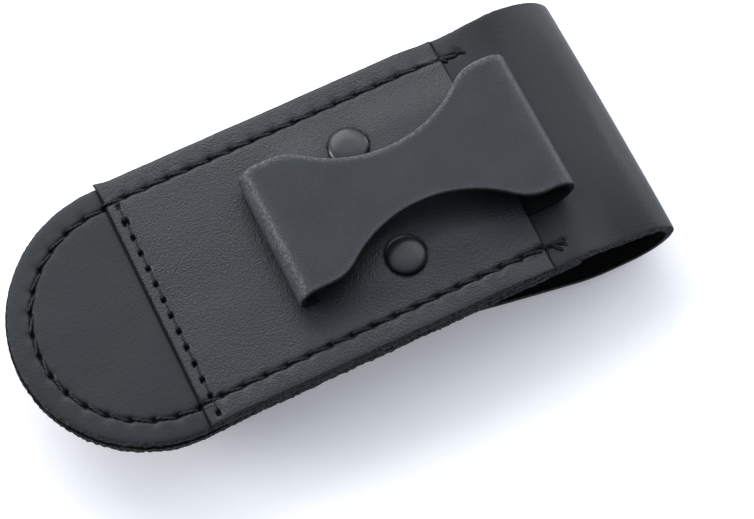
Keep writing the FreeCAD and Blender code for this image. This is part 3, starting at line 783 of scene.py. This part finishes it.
def plies(path, thick, twist, phase, count=3, sides=7):
    """Closed tubes twisted round a path: (points, faces)."""
    along = np.gradient(path, axis=0)
    along /= np.linalg.norm(along, axis=1, keepdims=True)
    side = np.cross(along, [0.0, 0.0, 1.0])
    side /= np.maximum(np.linalg.norm(side, axis=1, keepdims=True), 1e-6)
    up = np.cross(side, along)
    ply = thick * 0.52
    lay = thick - ply
    points, faces = [], []
    rows = len(path)
    for strand in range(count):
        turn = phase + strand * 2 * math.pi / count + twist * np.linspace(0, 1, rows)
        centre = path + lay * (np.cos(turn)[:, None] * side + np.sin(turn)[:, None] * up)
        start = len(points) * rows * sides
        ring = []
        for k in range(sides):
            angle = 2 * math.pi * k / sides
            ring.append(centre + ply * (math.cos(angle) * side + math.sin(angle) * up))
        tube = np.stack(ring, axis=1).reshape(-1, 3)
        points.append(tube)
        faces += grid_faces(rows, sides, close=True, start=start)
        faces.append(tuple(range(start + sides - 1, start - 1, -1)))
        last = start + (rows - 1) * sides
        faces.append(tuple(range(last, last + sides)))
    return np.concatenate(points), faces


def sewn(name, stitches, surface, outward, thick, rise, material, slant=0.42):
    """All the stitches (start, end, shift, extra rise) of one thread as one mesh."""
    points, faces, flat = [], [], []
    number = 0
    wander = np.random.default_rng(sum(ord(letter) for letter in name))
    for index, (start, end, shift, extra) in enumerate(stitches):
        start, end = np.array(start, float), np.array(end, float)
        along = (end - start) / np.linalg.norm(end - start)
        across = np.array([-along[1], along[0]])
        lean = slant * (1 + 0.35 * wander.uniform(-1, 1))
        a = start + across * (lean + shift) + along * wander.uniform(-0.12, 0.12)
        b = end + across * (-lean + shift) + along * wander.uniform(-0.12, 0.12)
        path = stitch_line(a, b, surface, outward, rise + extra)
        shape, sides = plies(path, thick, wander.uniform(8.5, 10.0), wander.uniform(0, 6.28))
        points.append(shape)
        flat.append(shape + [index * 3.7, 0, 0])
        faces += [tuple(number + k for k in face) for face in sides]
        number += len(shape)
    return add_piece(name, np.concatenate(points), faces, {}, material, np.concatenate(flat))


def stitches_between(hole_shade):
    """Plain stitches from each hole to the next."""
    return [(a, b, 0.0, 0.0) for a, b in zip(hole_shade[:-1], hole_shade[1:])]


def seam_stitches():
    return stitches_between([seam_point(k * PITCH) for k in range(SEAM_STITCHES + 1)])


def back_tacks():
    """Second passes and loose ends at both ends of the seam."""
    passes = []
    loose = np.random.default_rng(8)
    for first, second in ((0, 1), (SEAM_STITCHES - 1, SEAM_STITCHES)):
        a, b = seam_point(first * PITCH), seam_point(second * PITCH)
        passes.append((a, b, 0.3, 0.15))
        passes.append((b, a, -0.25, 0.25))
        side = math.copysign(1.0, a[1])
        corner = (PATCH_LONG + 0.4, SEAM_HALF * side)
        passes.append((corner, (PATCH_LONG - 0.1, (SEAM_HALF + 2.1) * side), 0.0, 0.1))
        for _ in range(LOOSE_ENDS):
            x, y = SEAM_END - loose.uniform(0.0, 4.5), side * (SEAM_HALF + loose.uniform(-0.5, 0.7))
            turn = loose.uniform(-0.9, 0.9)
            far = loose.uniform(1.2, 2.6)
            passes.append(((x, y), (x + far * math.cos(turn), y + far * math.sin(turn)), 0.0, 0.2))
    return passes


def row_stitches():
    return stitches_between([(ROW_X, ROW_START - k * ROW_PITCH) for k in range(ROW_STITCHES + 1)])


def front_face(x, y):
    return -STRAP - FRONT + seam_depth(x, y)


def panel_inside(x, y):
    return np.full(np.shape(x), -STRAP)


def all_threads(material):
    needle = seam_stitches() + back_tacks()
    seam_top = sewn("thread_seam_needle", needle, stack_top, 1, 0.35, 0.14, material)
    seam_low = sewn("thread_seam_bobbin", seam_stitches(), front_face, -1, 0.34, 0.16, material)
    row_top = sewn(
        "thread_row_needle", row_stitches(), stack_top, 1, 0.22, 0.04, material, slant=0.05)
    row_low = sewn(
        "thread_row_bobbin", row_stitches(), panel_inside, -1, 0.27, 0.15, material, slant=0.05)
    for piece, node in (
            (seam_top, "seam_needle_thread"), (seam_low, "seam_bobbin_thread"),
            (row_top, "row_needle_thread"), (row_low, "row_bobbin_thread")):
        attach(piece, "root")
        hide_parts(node)


# ---------------------------------------------------------------- clip

def clip_half_width(x):
    """Half width of the arm: a bow tie of arcs between the two ends."""
    hub = WAIST_HALF + WAIST_ROUND
    half = FREE_HALF if x < WAIST else CLIP_HALF
    rise = hub - (half - SHOULDER)
    across = math.sqrt((WAIST_ROUND + SHOULDER) ** 2 - rise ** 2)
    away = abs(x - WAIST)
    if away >= across:
        return half
    if away >= across * WAIST_ROUND / (WAIST_ROUND + SHOULDER):
        return half - SHOULDER + math.sqrt(SHOULDER ** 2 - (away - across) ** 2)
    return hub - math.sqrt(WAIST_ROUND ** 2 - away ** 2)


def clip_line():
    """Middle line of the steel from the base to the lip: rows of (x, z, heading)."""
    middle = CLIP_TOP / 2
    x, z, heading = BASE_START, HALF_STEEL, 0.0
    rows = [(x, z, heading)]

    def straight(length, size):
        nonlocal x, z
        for step in steps(0, length, size)[1:]:
            rows.append((x + step * math.cos(heading), z + step * math.sin(heading), heading))
        x, z = rows[-1][:2]

    def turned(bend, angle, count):
        nonlocal x, z, heading
        radius = bend - HALF_STEEL
        cx, cz = x - radius * math.sin(heading), z + radius * math.cos(heading)
        for step in np.linspace(0, angle, count + 1)[1:]:
            now = heading + step
            rows.append((cx + radius * math.sin(now), cz - radius * math.cos(now), now))
        heading += angle
        x, z = rows[-1][:2]

    bend_x = CLIP_END - middle
    straight(bend_x - BASE_START, 1.5)
    turned(middle, math.pi, 32)
    straight(bend_x - CLIP_FREE - FREE_BEND, 0.55)
    turned(FREE_BEND, math.pi / 2, 16)
    straight(CLIP_TOP - FREE_BEND - LIP_BOTTOM - LIP_BEND, 0.5)
    turned(LIP_BEND, math.pi / 2, 10)
    straight(LIP_TIP - CLIP_FREE - LIP_BEND, 0.4)
    return rows


def steel_half(x, z, heading):
    """Half width of the steel at a point of its middle line: a round-cornered base, then the arm."""
    if z >= CLIP_TOP / 2 or heading >= math.pi / 2:
        return clip_half_width(x)
    short = max(0.0, BASE_CORNER - (x - BASE_START))
    return CLIP_HALF - BASE_CORNER + math.sqrt(max(BASE_CORNER ** 2 - short ** 2, 0.01))


def clip_section():
    """Once round the steel's section: (share of the half width, mm beyond it, level from -1 to 1)."""
    across = np.linspace(-1, 1, CLIP_COLUMNS)
    corner = [
        (STEEL_ROLL * math.sin(t), 1 - STEEL_ROLL * (1 - math.cos(t)) / HALF_STEEL) for t in ROLL_TURNS]
    loop = [(u, 0.0, 1.0) for u in across]
    loop += [(1.0, out, level) for out, level in corner]
    loop += [(1.0, out, -level) for out, level in corner[::-1]]
    loop += [(u, 0.0, -1.0) for u in across[::-1]]
    loop += [(-1.0, -out, -level) for out, level in corner]
    loop += [(-1.0, -out, level) for out, level in corner[::-1]]
    return loop


def clip_stations(count):
    """(row of the middle line, mm along it, share of the section) of the clip's sections."""
    ends = [(-STEEL_ROLL / 2, 0.30), (0.05 - STEEL_ROLL / 2, 0.62), (0.16 - STEEL_ROLL / 2, 0.86)]
    stations = [(0, out, share) for out, share in ends]
    stations += [(k, 0.0, 1.0) for k in range(1, count - 1)]
    return stations + [(count - 1, -out, share) for out, share in ends[::-1]]


def clip_marks(x, z, half, u, level, share):
    """(wear and painted highlight, painted shade) at a point: rubbed rims, strongest on the +Y and upper
    edges, and the rubbed free bend, both doubling as a painted highlight; a painted highlight along the
    crest; and painted shade on the faces that see no light.
    """
    rim = 1.0 if abs(u) == 1.0 else float(hill((1 - abs(u)) * half, 0.55))
    # Painted highlight: the +Y and upper edges get more of the mark, where the light falls
    rim *= (1.0 if u > 0 else 0.35) * (0.8 if level > 0.3 else 0.3)
    bend = float(hill(x - CLIP_FREE - 0.9, 1.5)) if z > LIP_BOTTOM + LIP_BEND else 0.0
    # Painted highlight along the bend's crest
    crest_highlight = float(hill(x - CLIP_END + 1.7, 0.5)) if z > CLIP_TOP / 2 else 0.0
    # Painted shade on the -Y wall and the inner side of the steel
    painted_shade_share = smooth(0.95, 0.45, level) if u == -1.0 else smooth(0.2, -0.6, level)
    return max(rim, 0.75 * max(bend, 0.7 * crest_highlight), 1 - share), 0.9 * float(painted_shade_share)


def clip_piece(material):
    """The whole belt clip: the steel's section swept along its middle line."""
    rows = clip_line()
    section = clip_section()
    stations = clip_stations(len(rows))
    points, flat, marks = [], [], []
    run = 0.0
    previous = rows[0]
    for index, shift, share in stations:
        x, z, heading = rows[index]
        run += math.hypot(x - previous[0], z - previous[1])
        previous = rows[index]
        half = steel_half(x, z, heading) - STEEL_ROLL - (1 - share) * 0.3
        for u, out, level in section:
            y = u * half + out
            rise = level * HALF_STEEL * share
            points.append((
                x + math.cos(heading) * shift + math.sin(heading) * rise, y,
                z + math.sin(heading) * shift - math.cos(heading) * rise))
            flat.append((run + shift, y, level))
            marks.append(clip_marks(x, z, half, u, level, share))
    columns = len(section)
    faces = grid_faces(len(stations), columns, close=True)
    side = CLIP_COLUMNS + len(ROLL_TURNS)
    for start in (0, (len(stations) - 1) * columns):
        ring = [start + k for k in range(columns)]
        turned_ring = ring[side:] + ring[:side]
        faces += cap_faces(turned_ring[::-1] if start == 0 else turned_ring)
    # The first mark is rubbed wear and painted highlight; inner is painted shade on the faces that see no
    # light
    wear_and_highlight, inner = zip(*marks)
    return add_piece(
        "belt_clip", np.array(points), faces, {"wear_and_highlight": wear_and_highlight, "inner": inner}, material, np.array(flat))


# ---------------------------------------------------------------- rivets and snap

def turned_piece(name, profile, x, y, material, segments=72):
    """A lathe-turned piece from (radius, z) points; both ends of the profile are on the axis."""
    rings = [point for point in profile if point[0] > 0.02]
    points = [(x, y, profile[0][1])]
    for radius, z in rings:
        for k in range(segments):
            turn = 2 * math.pi * k / segments
            points.append((x + radius * math.cos(turn), y + radius * math.sin(turn), z))
    points.append((x, y, profile[-1][1]))
    faces = [(0, 1 + k, 1 + (k + 1) % segments) for k in range(segments)]
    faces += grid_faces(len(rings), segments, close=True, start=1)
    last = 1 + (len(rings) - 1) * segments
    end = len(points) - 1
    faces += [(last + (k + 1) % segments, last + k, end) for k in range(segments)]
    return add_piece(name, np.array(points), faces, {}, material)


def rounded(corners, radius, count=5):
    """A (radius, z) profile with its inner corners rounded."""
    result = [corners[0]]
    for before, here, after in zip(corners[:-2], corners[1:-1], corners[2:]):
        here = np.array(here, float)
        back, ahead = np.array(before) - here, np.array(after) - here
        reach = min(radius, np.linalg.norm(back) * 0.45, np.linalg.norm(ahead) * 0.45)
        a = here + back / np.linalg.norm(back) * reach
        b = here + ahead / np.linalg.norm(ahead) * reach
        for t in np.linspace(0, 1, count):
            result.append(tuple(a * (1 - t) ** 2 + here * 2 * t * (1 - t) + b * t * t))
    result.append(corners[-1])
    return result


def rivet_caps(material):
    """Domed heads with a small rolled rim, let into the patch."""
    seat = PATCH + PATCH_RISE
    under = seat - 0.45
    for side, name in ((1, "rivet_left"), (-1, "rivet_right")):
        dome = [(0.0, seat + RIVET_DOME)]
        for r in np.linspace(0.4, RIVET_HEAD - 0.35, 10):
            dome.append((r, seat + RIVET_DOME - 0.62 * (r / RIVET_HEAD) ** 3.6))
        profile = dome + rounded(
            [(RIVET_HEAD - 0.2, seat + 0.36), (RIVET_HEAD, seat + 0.2), (RIVET_HEAD, seat - 0.25),
             (RIVET_HEAD - 0.5, under)], 0.2)
        profile += [(0.0, under)]
        piece = turned_piece(name + "_head", profile, RIVET_X, RIVET_Y * side, material)
        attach(piece, "root")
        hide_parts(name + "_cap")


def snap_cap(material):
    """The snap's cap on the flap: a low dish with a rolled rim, let into the leather."""
    face = FLAP_Z - CAP_HIGH
    back = FLAP_Z + 0.3
    corners = [(0.0, face + 0.12), (CAP_RADIUS - 2.6, face + 0.1), (CAP_RADIUS - 1.6, face),
               (CAP_RADIUS - 0.35, face + 0.45), (CAP_RADIUS, face + 1.05), (CAP_RADIUS - 0.5, back),
               (0.0, back)]
    piece = turned_piece("snap_cap_dome", rounded(corners, 0.7), SNAP_X, 0.0, material)
    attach(piece, "flap")
    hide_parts("snap_cap")


# ---------------------------------------------------------------- materials

class Graph:
    """Short calls for the nodes of one material."""

    def __init__(self, name):
        self.material = bpy.data.materials.new(name)
        self.material.use_nodes = True
        self.tree = self.material.node_tree
        self.tree.nodes.clear()
        self.out = self.tree.nodes.new("ShaderNodeOutputMaterial")

    def add(self, kind, inputs=None, **settings):
        """A node; inputs are socket names or numbers with a value or another node's output."""
        node = self.tree.nodes.new("ShaderNode" + kind)
        for key, value in settings.items():
            setattr(node, key, value)
        for key, value in (inputs or {}).items():
            if isinstance(value, bpy.types.NodeSocket):
                self.tree.links.new(value, node.inputs[key])
            else:
                node.inputs[key].default_value = value
        return node

    def attribute(self, name, output="Fac"):
        return self.add("Attribute", attribute_name=name).outputs[output]

    def noise(self, where, scale, detail=3.0, rough=0.55, distortion=0.0):
        node = self.add("TexNoise", {
            "Vector": where, "Scale": scale, "Detail": detail, "Roughness": rough,
            "Distortion": distortion})
        return node.outputs["Fac"]

    def cells(self, where, scale, feature="F1"):
        node = self.add("TexVoronoi", {"Vector": where, "Scale": scale}, feature=feature)
        return node.outputs["Distance"]

    def math(self, operation, a, b=0.0):
        return self.add("Math", {0: a, 1: b}, operation=operation).outputs[0]

    def span(self, value, low, high, start=0.0, end=1.0):
        node = self.add("MapRange", {
            "Value": value, "From Min": low, "From Max": high, "To Min": start, "To Max": end})
        return node.outputs["Result"]

    def ramp(self, value, *stops):
        """A colour ramp from (position, grey or colour) stops."""
        node = self.add("ValToRGB", {"Fac": value})
        elements = node.color_ramp.elements
        while len(elements) < len(stops):
            elements.new(0.5)
        for element, (position, colour) in zip(elements, stops):
            if not isinstance(colour, tuple):
                colour = (colour, colour, colour)
            element.position = position
            element.color = (*colour, 1)
        return node.outputs["Color"]

    def bump(self, height, depth):
        """A normal bumped by a height; depth is in millimetres."""
        node = self.add("Bump", {"Height": height, "Distance": depth * MM, "Strength": 1.0})
        return node.outputs["Normal"]

    def mixed(self, share, first, second):
        node = self.add("MixShader", {0: share, 1: first, 2: second})
        return node.outputs[0]

    def finish(self, surface):
        self.tree.links.new(surface, self.out.inputs["Surface"])
        return self.material


def fibre(graph, skin, tone, depth, shade_share=0.45):
    """Matte felted fibres: the cut edge or the flesh side of the leather."""
    strands = graph.noise(skin, 2.2, 6.0, 0.8)
    patches = graph.noise(skin, 0.5, 4.0, 0.6)
    height = graph.math("ADD", strands, graph.math("MULTIPLY", patches, 0.6))
    shade = graph.add("BsdfPrincipled", {
        "Base Color": graph.ramp(strands, (0.44, tuple(shade_share * c for c in tone)), (0.64, tone)),
        "Roughness": 0.9,
        "Specular IOR Level": 0.2,
        "Normal": graph.bump(height, depth)})
    return shade.outputs[0]


def leather(name, tone, cell, depth, rough, crease, gloss=0.34, raw_tone=RAW_TONE):
    """Black top-grain leather, with raw edges, a flesh side, and painted shade in holes and crevices where
    the piece's marks say.

    cell is the size of the grain's pebbles and depth their height, in millimetres.
    """
    graph = Graph(name)
    skin = graph.attribute("skin", "Vector")
    pebbles = graph.cells(skin, 1 / cell, "SMOOTH_F1")
    creases = graph.noise(skin, 3.4, 6.0, 0.6, 0.15)
    slow = graph.noise(skin, 0.055, 3.0, 0.5)
    pores = graph.cells(skin, 1.7 / cell)
    height = graph.math("ADD", graph.math("MULTIPLY", pebbles, 0.9), graph.math("MULTIPLY", creases, crease))
    height = graph.math("ADD", height, graph.math("MULTIPLY", graph.span(pores, 0.0, 0.25), 0.35))
    cloud = graph.math("ADD", graph.math("MULTIPLY", creases, 0.45), graph.math("MULTIPLY", slow, 0.75))
    dark = tuple(0.72 * c for c in tone)
    light = tuple(1.35 * c for c in tone)
    grain = graph.add("BsdfPrincipled", {
        "Base Color": graph.ramp(cloud, (0.35, dark), (0.6, tone), (0.85, light)),
        "Roughness": graph.span(cloud, 0.4, 0.8, rough - 0.06, rough + 0.08),
        "Specular IOR Level": gloss,
        "Normal": graph.bump(height, depth)})
    suede = fibre(graph, skin, SUEDE_TONE, 0.12)
    raw = fibre(graph, skin, raw_tone, 0.6, 0.05)
    # Painted shade: a near-black matte fibre laid where the hole mark says, in needle holes, seam slots and
    # crevices
    hole = fibre(graph, skin, HOLE_SHADE_TONE, 0.05)
    both = graph.mixed(graph.attribute("flesh"), grain.outputs[0], suede)
    both = graph.mixed(graph.attribute("cut"), both, raw)
    return graph.finish(graph.mixed(graph.attribute("hole"), both, hole))


def powder_coat():
    """Matte black coating on the spring steel, rubbed along its edges with a painted highlight there, and
    painted shade on the faces that see no light.
    """
    graph = Graph("clip_coat")
    skin = graph.attribute("skin", "Vector")
    orange_peel = graph.noise(skin, 3.7, 3.0, 0.7)
    slow = graph.noise(skin, 0.11, 3.0, 0.5)
    scuffs = graph.noise(skin, 2.4, 5.0, 0.75)
    # Rubbed wear and painted highlight, broken up by scuffs
    wear_and_highlight_share = graph.math("MULTIPLY", graph.attribute("wear_and_highlight"), graph.span(scuffs, 0.36, 0.56))
    cloud = graph.math("ADD", graph.math("MULTIPLY", orange_peel, 0.4), graph.math("MULTIPLY", slow, 0.6))
    coat = graph.add("BsdfPrincipled", {
        "Base Color": graph.ramp(cloud, (0.35, (0.0145, 0.0176, 0.0198)), (0.65, (0.028, 0.0338, 0.0375))),
        "Roughness": graph.span(cloud, 0.35, 0.65, 0.42, 0.54),
        "Specular IOR Level": 0.4,
        "Normal": graph.bump(orange_peel, 0.29)})
    # Lighter bare steel for the rubbed edges, which also stands in for highlights
    rubbed_and_highlit = graph.add("BsdfPrincipled", {
        "Base Color": graph.ramp(scuffs, (0.4, (0.06, 0.066, 0.072)), (0.7, (0.20, 0.21, 0.22))),
        "Roughness": 0.36,
        "Metallic": 0.2,
        "Normal": graph.bump(scuffs, 0.03)})
    # Painted shade: a near-black matte layer where the inner mark says, on the faces that see no light
    painted_shade_coat = fibre(graph, skin, UNLIT_SHADE_TONE, 0.04)
    outside = graph.mixed(graph.math("MULTIPLY", wear_and_highlight_share, 0.7), coat.outputs[0], rubbed_and_highlit.outputs[0])
    return graph.finish(graph.mixed(graph.attribute("inner"), outside, painted_shade_coat))


def lacquer(name, rough, tone):
    """Black enamel on the rivets, their posts and the snap cap."""
    graph = Graph(name)
    skin = graph.add("TexCoord").outputs["Object"]
    speckle = graph.noise(skin, 1400.0, 4.0, 0.6)
    slow = graph.noise(skin, 180.0, 3.0, 0.5)
    enamel = graph.add("BsdfPrincipled", {
        "Base Color": graph.ramp(slow, (0.35, tuple(0.75 * c for c in tone)), (0.65, tone)),
        "Roughness": graph.span(speckle, 0.3, 0.7, rough - 0.05, rough + 0.06),
        "Coat Weight": 0.18,
        "Coat Roughness": 0.2,
        "Normal": graph.bump(speckle, 0.012)})
    return graph.finish(enamel.outputs[0])


def plated(name, tone, rough):
    """Nickel-plated sheet and wire of the snap's working parts."""
    graph = Graph(name)
    skin = graph.add("TexCoord").outputs["Object"]
    brushed = graph.noise(skin, 1600.0, 3.0, 0.6)
    stains = graph.noise(skin, 260.0, 4.0, 0.6)
    metal = graph.add("BsdfPrincipled", {
        "Base Color": graph.ramp(stains, (0.3, tuple(0.7 * c for c in tone)), (0.65, tone)),
        "Metallic": 1.0,
        "Roughness": graph.span(brushed, 0.3, 0.7, rough - 0.06, rough + 0.08),
        "Normal": graph.bump(brushed, 0.01)})
    return graph.finish(metal.outputs[0])


def waxed_thread():
    """Black waxed nylon thread."""
    graph = Graph("waxed_thread")
    skin = graph.attribute("skin", "Vector")
    fuzz = graph.noise(skin, 6.0, 4.0, 0.7)
    strand = graph.add("BsdfPrincipled", {
        "Base Color": graph.ramp(fuzz, (0.3, (0.0012, 0.0012, 0.0014)), (0.7, (0.0035, 0.0036, 0.004))),
        "Roughness": graph.span(fuzz, 0.3, 0.7, 0.28, 0.42),
        "Specular IOR Level": 0.35,
        "Normal": graph.bump(fuzz, 0.05)})
    return graph.finish(strand.outputs[0])


def paper_floor():
    """White paper that glows a little, so that it stays pale away from the piece."""
    graph = Graph("studio_floor")
    where = graph.add("TexCoord").outputs["Object"]
    tooth = graph.noise(where, 300.0, 3.0, 0.6)
    paper = graph.add("BsdfPrincipled", {
        "Base Color": graph.ramp(tooth, (0.3, 0.90), (0.7, 0.92)),
        "Roughness": 0.9,
        "Specular IOR Level": 0.1,
        "Emission Color": (0.93, 0.95, 1.0, 1),
        "Emission Strength": 0.24})
    return graph.finish(paper.outputs[0])


# ---------------------------------------------------------------- assembly


def leather_pieces():
    strap = leather("strap_leather_grain", STRAP_TONE, 0.50, 0.034, rough=0.46, crease=0.35)
    front = leather("front_leather_grain", STRAP_TONE, 0.50, 0.036, rough=0.46, crease=0.35)
    patch = leather(
        "patch_leather_grain", PATCH_TONE, 0.34, 0.100, rough=0.37, crease=0.25, gloss=0.42,
        raw_tone=PATCH_RAW_TONE)
    back = strap_back(strap)
    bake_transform(back)
    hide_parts("back_panel", "flap_fold")
    flap = strap_flap(strap)
    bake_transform(flap)
    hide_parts("flap")
    for piece, node, slot in (
            (pocket_front(front), "pocket_front", "front_leather"),
            (clip_patch(patch), "clip_patch", "patch_leather")):
        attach(piece, "root")
        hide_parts(node)


def metal_pieces():
    clip = clip_piece(powder_coat())
    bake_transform(clip)
    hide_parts("clip_base", "clip_arm")
    rivet_caps(lacquer("rivet_enamel", 0.36, RIVET_TONE))
    snap_cap(lacquer("snap_enamel", 0.30, SNAP_TONE))


def hidden_metal():
    """Materials for the small CAD solids that are shown as they are."""
    nickel = plated("snap_nickel", NICKEL_TONE, 0.26)
    spring = plated("spring_wire", WIRE_TONE, 0.22)
    black = lacquer("post_enamel", 0.38, SNAP_TONE)
    for node, material in (
            ("rivet_left_post", black), ("rivet_right_post", black), ("snap_socket", nickel),
            ("snap_stud", nickel), ("snap_post", nickel), ("snap_spring", spring)):
        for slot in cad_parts[node].material_slots:
            slot.material = material


def white_floor():
    """Plain pale sheet under the piece."""
    far = 4.0
    mesh = bpy.data.meshes.new("floor")
    mesh.from_pydata([(-far, -far, 0), (far, -far, 0), (far, far, 0), (-far, far, 0)], [], [(0, 1, 2, 3)])
    mesh.materials.append(paper_floor())
    floor = bpy.data.objects.new("floor", mesh)
    bpy.context.scene.collection.objects.link(floor)


def soft_sky():
    """Bluish light from above, brightest from one direction and fading away from it."""
    world = bpy.data.worlds.new("studio")
    bpy.context.scene.world = world
    world.use_nodes = True
    nodes, links = world.node_tree.nodes, world.node_tree.links
    sky = nodes["Background"]
    sky.inputs["Color"].default_value = SKY_TONE
    direction = nodes.new("ShaderNodeTexCoord")
    toward = nodes.new("ShaderNodeVectorMath")
    toward.operation = "DOT_PRODUCT"
    toward.inputs[1].default_value = BRIGHT_SKY
    brighten = nodes.new("ShaderNodeMapRange")
    brighten.inputs["To Max"].default_value = SKY_POWER
    links.new(direction.outputs["Generated"], toward.inputs[0])
    links.new(toward.outputs["Value"], brighten.inputs["Value"])
    links.new(brighten.outputs["Result"], sky.inputs["Strength"])


def soft_lamps():
    """Four square lamps, each turned to the middle of the row frame."""
    for name, place, size, power in LAMPS:
        lamp = bpy.data.lights.new(name, "AREA")
        lamp.shape = "SQUARE"
        lamp.size = size
        lamp.energy = power
        light = bpy.data.objects.new(name, lamp)
        light.location = place
        light.rotation_euler = (-Vector(place)).to_track_quat("-Z", "Y").to_euler()
        bpy.context.scene.collection.objects.link(light)


def photo_camera():
    """Camera at the photograph's angle, distance and framing."""
    target = Vector((6.42, -10.76, 21.8)) * MM
    distance, lens = 457.6 * MM, 114.59
    azimuth, elevation = math.radians(-26.10), math.radians(68.43)
    away = Vector((
        math.sin(azimuth) * math.cos(elevation), -math.cos(azimuth) * math.cos(elevation),
        math.sin(elevation)))
    camera = bpy.data.cameras.new("camera")
    camera.lens = lens
    camera.sensor_width = 36.0
    camera.clip_start = 0.01
    camera.dof.use_dof = False
    eye = bpy.data.objects.new("camera", camera)
    eye.location = target + away * distance
    eye.rotation_euler = (-away).to_track_quat("-Z", "Y").to_euler()
    bpy.context.scene.collection.objects.link(eye)
    bpy.context.scene.camera = eye


leather_pieces()
metal_pieces()
hidden_metal()
all_threads(waxed_thread())
white_floor()
soft_sky()
soft_lamps()
photo_camera()
bpy.context.scene.view_settings.view_transform = "Standard"

bpy.context.view_layer.update()
